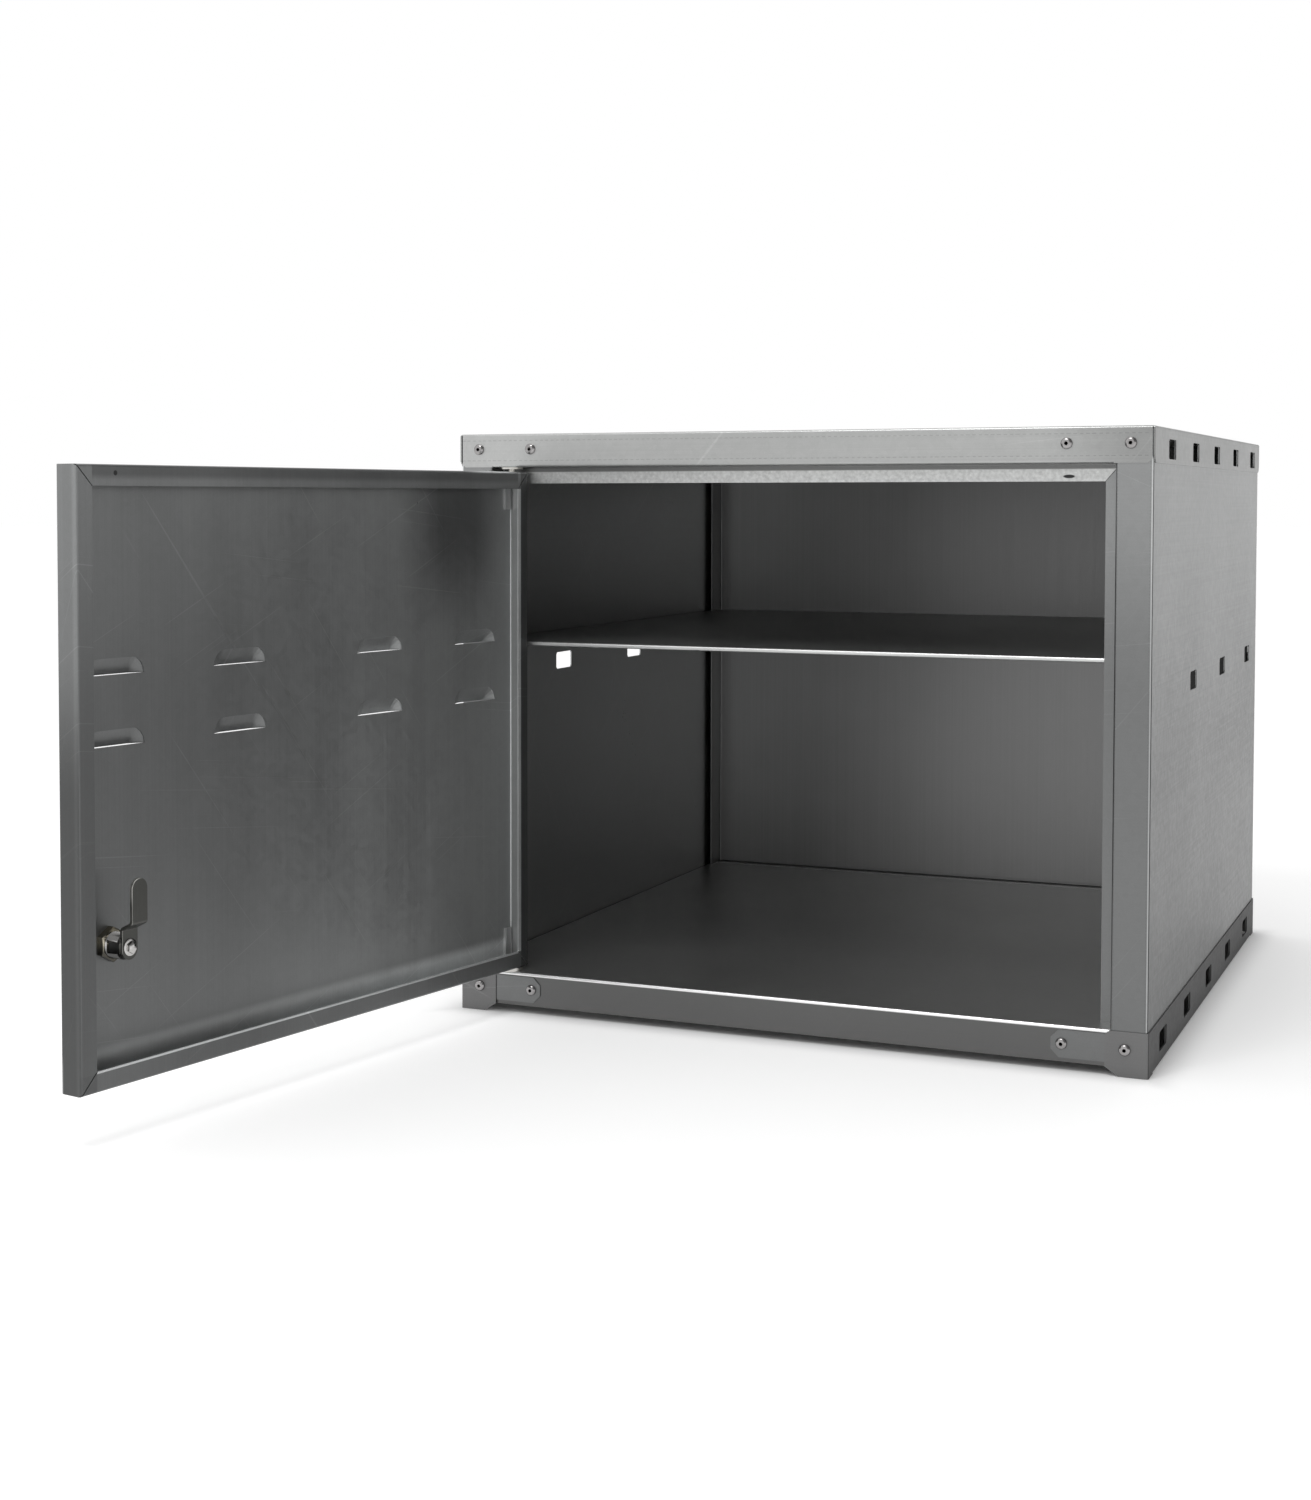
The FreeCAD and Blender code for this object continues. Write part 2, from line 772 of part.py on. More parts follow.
def flipped(shape):
    """Mirror image of a piece about the door's mid height, for the other end of the hinge side."""
    return shape.mirror(FreeCAD.Vector(0, 0, (door_top + door_bottom) / 2), FreeCAD.Vector(0, 0, 1))


def hinge_bracket():
    """Angle inside the door's top hinge corner: a leg on the skin and a plate that holds the pin."""
    left = door_left + sheet + bend_radius
    skin = door_front + sheet
    plate_top = door_top - sheet
    plate = box(
        (left, skin + bend_radius, plate_top - hinge_bracket_sheet),
        (left + hinge_bracket_width, door_back - sheet - bend_radius, plate_top),
    )
    leg_bottom = door_top - hinge_bracket_height
    leg_outline = [
        (left, leg_bottom),
        (left + hinge_bracket_leg_width - hinge_bracket_taper, leg_bottom),
        (left + hinge_bracket_leg_width, plate_top - bend_radius),
        (left, plate_top - bend_radius),
    ]
    leg = along_y(polygon(leg_outline, on_xz), skin, skin + hinge_bracket_sheet)
    heel = along_x(
        polygon(
            [
                (skin, plate_top - bend_radius),
                (skin + bend_radius, plate_top),
                (skin + bend_radius, plate_top - hinge_bracket_sheet),
                (skin + hinge_bracket_sheet, plate_top - hinge_bracket_sheet - bend_radius),
                (skin, plate_top - hinge_bracket_sheet - bend_radius),
            ],
            on_yz,
        ),
        left,
        left + hinge_bracket_leg_width,
    )
    bore = rod(FreeCAD.Vector(pivot.x, pivot.y, leg_bottom), pin_radius, hinge_bracket_height,
               FreeCAD.Vector(0, 0, 1))
    return plate.fuse([leg, heel]).cut(bore)


def hinge_pin():
    """Headed pin of the top pivot, from inside the door up through the lintel's bush."""
    seat = door_top - sheet - hinge_bracket_sheet
    head = rod(FreeCAD.Vector(pivot.x, pivot.y, seat - pin_head_height), pin_head_radius, pin_head_height,
               FreeCAD.Vector(0, 0, 1))
    shank_length = lintel_level - seat + pin_reach - door_top_gap
    shank = rod(FreeCAD.Vector(pivot.x, pivot.y, seat), pin_radius, shank_length, FreeCAD.Vector(0, 0, 1))
    return head.fuse(shank)


def pivot_bush(seat, up, flange_thickness):
    """Flanged bush; its flange lies against the seat and its hexagon barrel is pressed through the sheet."""
    way = FreeCAD.Vector(0, 0, up)
    base = FreeCAD.Vector(pivot.x, pivot.y, seat)
    flange = rod(base - way * flange_thickness, bush_flange_radius, flange_thickness, way)
    barrel_ends = sorted([seat, seat + (sheet + bush_tail) * up])
    barrel = along_z(hexagon(bush_flats, on_xy, pivot.x, pivot.y), barrel_ends[0], barrel_ends[1])
    bore = rod(base - way * overrun, pin_radius + running_gap, overrun * 2 + sheet + bush_tail, way)
    return flange.fuse(barrel).cut(bore)


def lock_rod(start, radius, length):
    """Cylinder on the lock's axis, from a depth behind the door's outer face."""
    return rod(FreeCAD.Vector(lock_x, door_front + start, lock_z), radius, length, FreeCAD.Vector(0, 1, 0))


def lock_barrel():
    """Lock body with its round head outside the skin and flats on its threaded barrel."""
    head = lock_rod(-lock_head_height, lock_head_radius, lock_head_height)
    barrel = lock_rod(0, lock_radius, lock_length)
    flats = []
    for side in (-1, 1):
        low = min(lock_flat_half * side, lock_radius * side * 2)
        high = max(lock_flat_half * side, lock_radius * side * 2)
        flats.append(box(
            (lock_x + low, door_front + sheet + lock_nut_height, lock_z - lock_radius - overrun),
            (lock_x + high, door_front + lock_length + overrun, lock_z + lock_radius + overrun),
        ))
    bore = lock_rod(-lock_head_height - overrun, plug_radius + running_gap,
                    lock_length + lock_head_height + overrun * 2)
    return head.fuse(cut_all(barrel, flats)).cut(bore)


def lock_nut():
    """Hexagon nut that clamps the lock to the door skin."""
    seat = door_front + sheet
    nut = along_y(hexagon(lock_nut_flats, on_xz, lock_x, lock_z), seat, seat + lock_nut_height)
    return nut.cut(lock_rod(sheet - overrun, lock_radius + lock_nut_gap, lock_nut_height + overrun * 2))


def lock_plug():
    """Turning core of the lock, slotted for the key and squared at its end for the cam."""
    core = lock_rod(-lock_head_height, plug_radius, lock_length + lock_head_height + cam_gap)
    half = plug_square / 2
    end = door_front + lock_length + cam_gap
    square = box((lock_x - half, end, lock_z - half), (lock_x + half, end + cam_sheet, lock_z + half))
    face = door_front - lock_head_height
    key_slot = box(
        (lock_x - key_slot_width / 2, face - overrun, lock_z - key_slot_length / 2),
        (lock_x + key_slot_width / 2, face + key_slot_depth, lock_z + key_slot_length / 2),
    )
    bore = lock_rod(lock_length + cam_gap + cam_sheet - cam_screw_length, cam_screw_radius, cam_screw_length)
    return core.fuse(square).cut(key_slot).cut(bore)


def lock_cam():
    """Cranked cam, standing up as when the lock is open, with a square hole and rounded ends."""
    near = door_front + lock_length + cam_gap
    far = near + cam_crank_depth
    path = [
        (near, lock_z - cam_heel),
        (near, lock_z + cam_crank_start),
        (far, lock_z + cam_crank_start + cam_crank_rise),
        (far, lock_z + cam_length),
    ]
    section = folded_section(path, -1, on_yz, cam_sheet, cam_bend_radius)
    strip = along_x(section, lock_x - cam_width / 2, lock_x + cam_width / 2)
    radius = cam_width / 2
    outline = [
        (lock_x - radius, lock_z - cam_heel, radius),
        (lock_x + radius, lock_z - cam_heel, radius),
        (lock_x + radius, lock_z + cam_length, radius),
        (lock_x - radius, lock_z + cam_length, radius),
    ]
    strip = strip.common(along_y(rounded_face(outline, on_xz), near - overrun, far + cam_sheet + overrun))
    half = plug_square / 2
    low_corner = (lock_x - half, near - overrun, lock_z - half)
    return strip.cut(box(low_corner, (lock_x + half, near + cam_sheet, lock_z + half)))


def cam_screw():
    """Hexagon screw that holds the cam on the plug."""
    seat = lock_length + cam_gap + cam_sheet
    head = along_y(hexagon(cam_screw_flats, on_xz, lock_x, lock_z), door_front + seat,
                   door_front + seat + cam_screw_height)
    return head.fuse(lock_rod(seat - cam_screw_length, cam_screw_radius, cam_screw_length))


def build():
    """Make every piece and write its file."""
    os.makedirs("parts", exist_ok=True)
    save("lid_panel", lid_panel())
    right_side = side_panel()
    save("side_panel_right", right_side)
    save("side_panel_left", mirrored_x(right_side))
    save("back_panel", back_panel())
    save("floor_tray", floor_tray())
    right_rail = base_rail()
    save("base_rail_right", right_rail)
    save("base_rail_left", mirrored_x(right_rail))
    save("shelf", shelf())
    front_bracket = shelf_bracket(stop_y + sheet + shelf_stop_gap + shelf_hem_depth)
    rear_bracket = shelf_bracket(inner_y - back_flange_depth - shelf_side_gap - bracket_length)
    save("shelf_bracket_front_right", front_bracket)
    save("shelf_bracket_front_left", mirrored_x(front_bracket))
    save("shelf_bracket_rear_right", rear_bracket)
    save("shelf_bracket_rear_left", mirrored_x(rear_bracket))
    save("lid_screws_front", screw_row(lid_screw_level, (half_depth, half_depth), -1))
    save("lid_screws_rear", screw_row(lid_screw_level, (half_depth,), 1))
    save("base_screws_front", screw_row(base_screw_level, (half_depth, skin_y), -1))
    save("base_screws_rear", screw_row(base_screw_level, (half_depth,), 1))
    save("hinge_bush_top", pivot_bush(lintel_level, 1, bush_flange_thickness))
    save("hinge_bush_bottom", pivot_bush(floor_height, -1, door_bottom_gap))
    save("door_panel", swung(door_panel()))
    save("hinge_bracket_top", swung(hinge_bracket()))
    save("hinge_bracket_bottom", swung(flipped(hinge_bracket())))
    save("hinge_pin_top", swung(hinge_pin()))
    save("hinge_pin_bottom", swung(flipped(hinge_pin())))
    save("lock_barrel", swung(lock_barrel()))
    save("lock_nut", swung(lock_nut()))
    save("lock_plug", swung(lock_plug()))
    save("lock_cam", swung(lock_cam()))
    save("cam_screw", swung(cam_screw()))


build()
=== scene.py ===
import json
import logging
import math
from dataclasses import dataclass
from enum import Enum
from typing import Optional, Sequence, Union

import bmesh
import bpy
from mathutils import Euler, Matrix, Vector


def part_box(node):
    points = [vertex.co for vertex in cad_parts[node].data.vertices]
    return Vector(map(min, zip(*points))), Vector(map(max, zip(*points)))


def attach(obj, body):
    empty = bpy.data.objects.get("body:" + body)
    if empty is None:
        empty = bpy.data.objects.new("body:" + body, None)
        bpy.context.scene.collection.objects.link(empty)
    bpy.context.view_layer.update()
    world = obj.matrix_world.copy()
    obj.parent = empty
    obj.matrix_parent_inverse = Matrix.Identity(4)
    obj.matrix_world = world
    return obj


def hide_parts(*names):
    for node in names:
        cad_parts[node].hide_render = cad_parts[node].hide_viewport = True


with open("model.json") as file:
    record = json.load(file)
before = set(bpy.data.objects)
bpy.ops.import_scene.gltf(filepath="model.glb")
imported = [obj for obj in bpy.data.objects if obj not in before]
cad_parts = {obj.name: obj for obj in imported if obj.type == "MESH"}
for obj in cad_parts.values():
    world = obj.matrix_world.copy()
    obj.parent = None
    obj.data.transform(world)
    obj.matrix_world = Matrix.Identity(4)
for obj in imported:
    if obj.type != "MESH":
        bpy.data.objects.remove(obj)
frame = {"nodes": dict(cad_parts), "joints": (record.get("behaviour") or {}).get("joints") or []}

# Low storage cupboard of folded galvanised sheet with one louvred door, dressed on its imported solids.
# Metres, in the same frame as the solids: +Z is up and the front faces -Y.

log = logging.getLogger("cupboard")

MM = 0.001
X, Y, Z = range(3)
FAR = 2.0
BUFFER_ACROSS = 229.0 * MM
BUFFER_LEVEL = 471.0 * MM
SHARP_DEGREES = 32.0
CHAMFER_SLOPE = math.tan(math.radians(30.0))
# painted shade: a hole is drawn as this near-black spot instead of an opening
HOLE_SHADE_COLOUR = (0.006, 0.006, 0.007, 1.0)
# painted shade laid over the lower part of the lock's barrel and nut
LOW_SHADE_COLOUR = (0.02, 0.02, 0.02, 1.0)
WHITE = (1.0, 1.0, 1.0)


class Axis(Enum):
    """Way in which a sheet was rolled, which its fine lines follow."""

    ACROSS = (0.0, 0.0, 1.0)
    UPRIGHT = (1.0, 1.0, 0.0)
    DEEP = (1.0, 0.0, 1.0)


class Outline(Enum):
    """Outline of one ring of a turned piece."""

    ROUND = "round"
    HEXAGON = "hexagon"
    FLATTED = "flatted"


# Shader trees

class Signal:
    """Output socket of a shader node, with arithmetic that adds Math nodes."""

    def __init__(self, tree: "ShaderTree", socket: bpy.types.NodeSocket) -> None:
        """Keep the tree and the socket.

        Args:
            tree: the tree that the socket belongs to.
            socket: the output socket to wrap.
        """
        self.tree = tree
        self.socket = socket

    def _math(self, operation: str, first: "Number", second: "Number") -> "Signal":
        """Add one Math node.

        Args:
            operation: the node's operation.
            first: first value or signal.
            second: second value or signal.

        Returns:
            The node's output.
        """
        return self.tree.node("ShaderNodeMath", {"operation": operation}, {0: first, 1: second})

    def __add__(self, other: "Number") -> "Signal":
        """Sum."""
        return self._math("ADD", self, other)

    __radd__ = __add__

    def __sub__(self, other: "Number") -> "Signal":
        """Difference."""
        return self._math("SUBTRACT", self, other)

    def __rsub__(self, other: "Number") -> "Signal":
        """Difference with the signal last."""
        return self._math("SUBTRACT", other, self)

    def __mul__(self, other: "Number") -> "Signal":
        """Product."""
        return self._math("MULTIPLY", self, other)

    __rmul__ = __mul__

    def __truediv__(self, other: "Number") -> "Signal":
        """Quotient."""
        return self._math("DIVIDE", self, other)

    def __gt__(self, other: "Number") -> "Signal":
        """One where the signal is greater, else nought."""
        return self._math("GREATER_THAN", self, other)

    def __lt__(self, other: "Number") -> "Signal":
        """One where the signal is less, else nought."""
        return self._math("LESS_THAN", self, other)

    def __mod__(self, other: "Number") -> "Signal":
        """Remainder that never falls below nought."""
        return self._math("FLOORED_MODULO", self, other)

    def __abs__(self) -> "Signal":
        """Size without sign."""
        return self._math("ABSOLUTE", self, 0.0)

    def at_most(self, other: "Number") -> "Signal":
        """Smaller of two."""
        return self._math("MINIMUM", self, other)

    def at_least(self, other: "Number") -> "Signal":
        """Larger of two."""
        return self._math("MAXIMUM", self, other)

    def rise(self, low: float, high: float) -> "Signal":
        """Smooth step.

        Args:
            low: value at which the step leaves nought.
            high: value at which it reaches one.

        Returns:
            The step.
        """
        settings = {"interpolation_type": "SMOOTHSTEP", "clamp": True}
        return self.tree.node("ShaderNodeMapRange", settings, {0: self, 1: low, 2: high, 3: 0.0, 4: 1.0})


Number = Union[float, Signal]


class ShaderTree:
    """Node tree of a material or of the world."""

    def __init__(self, owner: Union[bpy.types.Material, bpy.types.World]) -> None:
        """Empty the owner's tree.

        Args:
            owner: material or world whose tree is built.
        """
        owner.use_nodes = True
        self.nodes = owner.node_tree.nodes
        self.links = owner.node_tree.links
        self.nodes.clear()

    def node(self, kind: str, settings: Optional[dict] = None, sockets: Optional[dict] = None,
             output: Union[int, str] = 0) -> Signal:
        """Add one node.

        Args:
            kind: Blender's name of the node type.
            settings: properties of the node, set first.
            sockets: values or signals of its input sockets, by name or number.
            output: name or number of the output to return.

        Returns:
            That output.
        """
        made = self.nodes.new(kind)
        for name, value in (settings or {}).items():
            setattr(made, name, value)
        for name, value in (sockets or {}).items():
            if isinstance(value, Signal):
                self.links.new(value.socket, made.inputs[name])
            else:
                made.inputs[name].default_value = value
        return Signal(self, made.outputs[output])

    def finish(self, kind: str, shader: Signal) -> None:
        """Link the shader to the tree's output node."""
        made = self.nodes.new(kind)
        self.links.new(shader.socket, made.inputs["Surface"])

    def place(self) -> Signal:
        """Place on the piece, in metres."""
        return self.node("ShaderNodeTexCoord", output="Object")

    def scaled(self, vector: Signal, scale: Sequence[float]) -> Signal:
        """Vector with each part multiplied."""
        return self.node("ShaderNodeVectorMath", {"operation": "MULTIPLY"}, {0: vector, 1: tuple(scale)})

    def parts(self, vector: Signal) -> tuple[Signal, Signal, Signal]:
        """The x, y and z of a vector.

        Args:
            vector: the vector to take apart.

        Returns:
            Its three parts.
        """
        split = self.nodes.new("ShaderNodeSeparateXYZ")
        self.links.new(vector.socket, split.inputs[0])
        return tuple(Signal(self, socket) for socket in split.outputs)

    def noise(self, vector: Signal, scale: float, detail: float = 2.0, roughness: float = 0.5) -> Signal:
        """Cloudy noise from nought to one.

        Args:
            vector: where to read it.
            scale: features in a metre.
            detail: octaves.
            roughness: share of the finer octaves.

        Returns:
            The noise.
        """
        sockets = {"Vector": vector, "Scale": scale, "Detail": detail, "Roughness": roughness}
        return self.node("ShaderNodeTexNoise", {"noise_dimensions": "3D"}, sockets)

    def mixed(self, factor: Number, first: Union[Signal, tuple], second: Union[Signal, tuple]) -> Signal:
        """Colour between two others.

        Args:
            factor: nought for the first colour, one for the second.
            first: colour or signal.
            second: colour or signal.

        Returns:
            The mixed colour.
        """
        settings = {"data_type": "RGBA", "clamp_factor": True}
        return self.node("ShaderNodeMix", settings, {0: factor, 6: first, 7: second}, output=2)

    def toned(self, colour: tuple[float, float, float], factor: Signal) -> Signal:
        """Colour made lighter or darker by a factor."""
        return self.node("ShaderNodeVectorMath", {"operation": "SCALE"}, {0: colour, "Scale": factor})

    def relief(self, strength: float, depth: float, height: Signal, under: Optional[Signal] = None) -> Signal:
        """Normal of a surface with a fine relief.

        Args:
            strength: share of the relief that is felt.
            depth: its depth in metres.
            height: its height, from nought to one.
            under: normal of a coarser relief that it lies on.

        Returns:
            The normal.
        """
        sockets = {"Strength": strength, "Distance": depth, "Height": height}
        if under is not None:
            sockets["Normal"] = under
        return self.node("ShaderNodeBump", None, sockets)

    def finish_metal(self, colour: Signal, metal: Number, roughness: Signal, normal: Signal) -> None:
        """Link a metal surface to the material's output.

        Args:
            colour: its colour.
            metal: one where it is bare metal.
            roughness: its roughness.
            normal: its normal.
        """
        sockets = {"Base Color": colour, "Metallic": metal, "Roughness": roughness, "Normal": normal}
        self.finish("ShaderNodeOutputMaterial", self.node("ShaderNodeBsdfPrincipled", None, sockets))


# Finishes, with the painted light and shade laid over them

@dataclass(frozen=True)
class Reach:
    """Where a tone ends: its distance from an edge, positive along the axis, and its soft border."""

    distance: float
    soft: float = 1.0 * MM


@dataclass(frozen=True)
class Span:
    """Stretch of one part of a place, in metres, with a soft border at each end."""

    low: float
    high: float
    soft: float = 1.0 * MM

    @classmethod
    def around(cls, level: float, reach: Reach) -> "Span":
        """Stretch that reaches as far to both sides of a level."""
        return cls(level - reach.distance, level + reach.distance, reach.soft)

    @classmethod
    def over(cls, edge: float, reach: Reach) -> "Span":
        """All that lies over the reach from an edge."""
        return cls(edge + reach.distance, edge + reach.distance + FAR, reach.soft)

    @classmethod
    def under(cls, edge: float, reach: Reach) -> "Span":
        """All that lies under the reach from an edge."""
        return cls(edge + reach.distance - FAR, edge + reach.distance, reach.soft)

    def moved(self, edge: float) -> "Span":
        """The same stretch, measured from an edge."""
        return Span(edge + self.low, edge + self.high, self.soft)

    def mask(self, part: Signal) -> Signal:
        """One within the stretch, falling to nought over its borders.

        Args:
            part: the part of the place.

        Returns:
            The mask.
        """
        half = (self.high - self.low) / 2
        border = self.soft / 2
        return 1.0 - abs(part - (self.low + self.high) / 2).rise(half - border, half + border)


@dataclass(frozen=True)
class DashedMark:
    """Row of faint press marks on one face of a sheet.

    The row keeps one part of its place and runs along another, on the face where the third is given.
    """

    fixed: int
    level: float
    along: int
    face: int
    face_level: float
    dash: float
    gap_share: float
    ragged: float = 0.9
    strength: float = 0.2
    half_width: float = 0.35 * MM
    skin: float = 0.2 * MM

    def mask(self, parts: Sequence[Signal], clouds: Signal) -> Signal:
        """One on the dashes.

        Args:
            parts: x, y and z of the place.
            clouds: noise that breaks the dashes up.

        Returns:
            The mask.
        """
        near = abs(parts[self.fixed] - self.level) < self.half_width
        on_face = abs(parts[self.face] - self.face_level) < self.skin
        dashes = (parts[self.along] / self.dash % 1.0) > (self.gap_share + self.ragged * (clouds - 0.5))
        return near * on_face * dashes


@dataclass(frozen=True)
class PaintedShadingBand:
    """Painted light and shade on part of a sheet: a factor over one paints a highlight, a factor under one
    paints shade.

    It is bounded only along those parts of the place that have a span.
    """

    factor: float
    x: Optional[Span] = None
    y: Optional[Span] = None
    z: Optional[Span] = None
    speckle: float = 0.0

    def shade(self, parts: Sequence[Signal], shade: Signal, specks: Signal) -> Signal:
        """Shade with the band laid over it.

        Args:
            parts: x, y and z of the place.
            shade: the shade without the band.
            specks: fine noise for a speckled band.

        Returns:
            The new shade.
        """
        mask: Number = 1.0
        for part, span in zip(parts, (self.x, self.y, self.z)):
            if span:
                mask = span.mask(part) * mask
        change: Number = self.factor - 1.0
        if self.speckle:
            change = (specks - 0.5) * self.speckle + change
        return shade * (mask * change + 1.0)


@dataclass(frozen=True)
class PaintedRimHighlight:
    """Painted highlight on the rim of an upright blade with a round end, bright towards one side and most at
    the top.
    """

    x: float
    z: float
    radius: float
    factor: float
    width: float = 0.45 * MM
    turn_share: float = 0.4
    foot_share: float = 0.4

    def shade(self, parts: Sequence[Signal], shade: Signal, specks: Signal) -> Signal:
        """Shade with the painted highlight laid over it.

        Args:
            parts: x, y and z of the place.
            shade: the shade without the rim.
            specks: fine noise, not used by a rim.

        Returns:
            The new shade.
        """
        across = parts[X] - self.x
        above = (parts[Z] - self.z).at_least(0.0)
        inner = self.radius - self.width
        mask = (across * across + above * above).rise((inner - self.width / 2) ** 2, inner ** 2)
        sideways = across.rise(-self.turn_share * self.radius, self.turn_share * self.radius)
        upward = parts[Z].rise(self.z - 2.0 * self.radius, self.z) * (1.0 - self.foot_share) + self.foot_share
        return shade * (mask * sideways * upward * (self.factor - 1.0) + 1.0)


@dataclass(frozen=True)
class PiercedDot:
    """Small hole in a sheet, drawn as a dark spot: painted shade of its inside, with no opening cut."""

    centre: tuple[float, float, float]
    radius: float = 2.0 * MM
    squeeze: tuple[float, float, float] = (1.0, 1.0, 1.0)
    border_shares: tuple[float, float] = (0.75, 1.05)

    def mask(self, tree: ShaderTree, place: Signal) -> Signal:
        """One inside the hole.

        Args:
            tree: tree to build in.
            place: place on the piece.

        Returns:
            The mask.
        """
        settings = {"operation": "DISTANCE"}
        centre = tuple(part * share for part, share in zip(self.centre, self.squeeze))
        sockets = {0: tree.scaled(place, self.squeeze), 1: centre}
        reach = tree.node("ShaderNodeVectorMath", settings, sockets, output="Value")
        inner, outer = self.border_shares
        return 1.0 - reach.rise(self.radius * inner, self.radius * outer)


@dataclass(frozen=True)
class Hanging:
    """Turn of the open door about its pivot, for finishes laid out on the shut door."""

    pivot: tuple[float, float, float]
    angle: float

    def shut(self, tree: ShaderTree, place: Signal) -> Signal:
        """Where a place on the open door would be with the door shut.

        Args:
            tree: tree to build in.
            place: place on the open door.

        Returns:
            The place on the shut door.
        """
        pivot = Vector(self.pivot)
        shift = pivot - Matrix.Rotation(self.angle, 3, "Z") @ pivot
        sockets = {"Vector": place, "Location": tuple(shift), "Rotation": (0.0, 0.0, self.angle)}
        return tree.node("ShaderNodeMapping", {"vector_type": "POINT"}, sockets)


@dataclass(frozen=True)
class GalvanisedSheet:
    """Satin zinc on steel sheet, with fine rolling lines, a faint spangle, scratches and dull clouds, and
    painted light and shade laid over it.
    """

    name: str
    tone: tuple[float, float, float] = (0.40, 0.405, 0.40)
    rolled: Axis = Axis.ACROSS
    roughness: float = 0.36
    clouding: float = 0.10
    drift: tuple[float, float, float] = (1.0, 1.0, 1.0)
    lines: float = 0.10
    spangle: float = 0.05
    scratching: float = 0.10
    scratch_scales: tuple[float, float, float] = (5.0, 900.0, 5.0)
    scratch_places: tuple[tuple[float, float], ...] = ((0.5, 0.0), (-0.9, 4.0), (1.35, 9.0))
    scratch_lean: float = 0.4
    scratch_range: tuple[float, float] = (0.80, 0.84)
    buckle: float = 4.8 * MM
    buckle_strength: float = 0.5
    relief: float = 0.10
    relief_depth: float = 0.05 * MM
    grain_share: float = 0.4
    grit: float = 0.10
    cloud_scale: float = 5.0
    line_scales: tuple[float, float] = (3.0, 623.0)
    grain_scale: float = 950.0
    speck_scale: float = 330.0
    spangle_scale: float = 210.0
    wave_scale: float = 3.2
    rough_clouds: float = 0.12
    rough_lines: float = 0.10
    rough_scratches: float = 0.5
    # share of painted shade below the lower of these heights, fading out by the upper
    low_painted_shade: float = 0.0
    low_painted_shade_heights: tuple[float, float] = (290.0 * MM, 480.0 * MM)
    oxide: float = 0.0
    bands: tuple[Union[PaintedShadingBand, PaintedRimHighlight], ...] = ()
    marks: tuple[DashedMark, ...] = ()
    dots: tuple[PiercedDot, ...] = ()
    hung_on: Optional[Hanging] = None

    def build(self) -> bpy.types.Material:
        """Make the material.

        Returns:
            The finished material.
        """
        material = bpy.data.materials.new(self.name)
        tree = ShaderTree(material)
        place = tree.place()
        if self.hung_on:
            place = self.hung_on.shut(tree, place)
        parts = tree.parts(place)
        clouds = tree.noise(tree.scaled(place, self.drift), self.cloud_scale, detail=3.0, roughness=0.55)
        along, across = self.line_scales
        stretch = [along + (across - along) * share for share in self.rolled.value]
        lines = tree.noise(tree.scaled(place, stretch), 1.0, detail=3.0, roughness=0.6)
        grain = tree.noise(place, self.grain_scale, detail=1.0)
        specks = tree.noise(place, self.speck_scale, detail=2.0, roughness=0.6)
        sockets = {"Vector": place, "Scale": self.spangle_scale}
        cells = tree.node("ShaderNodeTexVoronoi", {"feature": "F1"}, sockets, output="Color")
        spangle = tree.parts(cells)[0]
        scratches = self._scratches(tree, place)
        shade = 1.0 + self.clouding * (clouds - 0.5) * 2.0 + self.lines * (lines - 0.5) * 2.0
        shade = shade + self.spangle * (spangle - 0.5) + self.grit * (grain - 0.5)
        shade = shade + self.scratching * scratches
        # painted shade: the sheet darkens below the given heights
        if self.low_painted_shade:
            shade = shade * (1.0 - self.low_painted_shade * (1.0 - parts[Z].rise(*self.low_painted_shade_heights)))
        # painted highlights and painted shade
        for band in self.bands:
            shade = band.shade(parts, shade, specks)
        for mark in self.marks:
            shade = shade * (1.0 - mark.strength * mark.mask(parts, specks))
        metal: Number = 1.0 - self.oxide
        colour = tree.toned(self.tone, shade)
        # holes drawn as dark spots, the shade inside them painted on
        for dot in self.dots:
            mask = dot.mask(tree, place)
            colour = tree.mixed(mask, colour, HOLE_SHADE_COLOUR)
            metal = (1.0 - mask) * metal
        rough = self.roughness + self.rough_clouds * (clouds - 0.5) + self.rough_lines * (lines - 0.5)
        rough = rough + self.spangle * (spangle - 0.5) - self.rough_scratches * self.scratching * scratches
        waves = tree.relief(self.buckle_strength, self.buckle, tree.noise(place, self.wave_scale, detail=1.0))
        fine = tree.relief(self.relief, self.relief_depth, lines + self.grain_share * grain, waves)
        tree.finish_metal(colour, metal, rough, fine)
        return material

    def _scratches(self, tree: ShaderTree, place: Signal) -> Signal:
        """Sparse hairline scratches in three leaning directions.

        Args:
            tree: tree to build in.
            place: place on the piece.

        Returns:
            Their mask.
        """
        found: Number = 0.0
        for turn, shift in self.scratch_places:
            sockets = {
                "Vector": place,
                "Location": (shift, 0.0, shift),
                "Rotation": (turn, turn, self.scratch_lean),
            }
            leaning = tree.node("ShaderNodeMapping", None, sockets)
            hairs = tree.noise(tree.scaled(leaning, self.scratch_scales), 1.0, detail=0.0)
            found = hairs.rise(*self.scratch_range) + found
        return found.at_most(1.0)


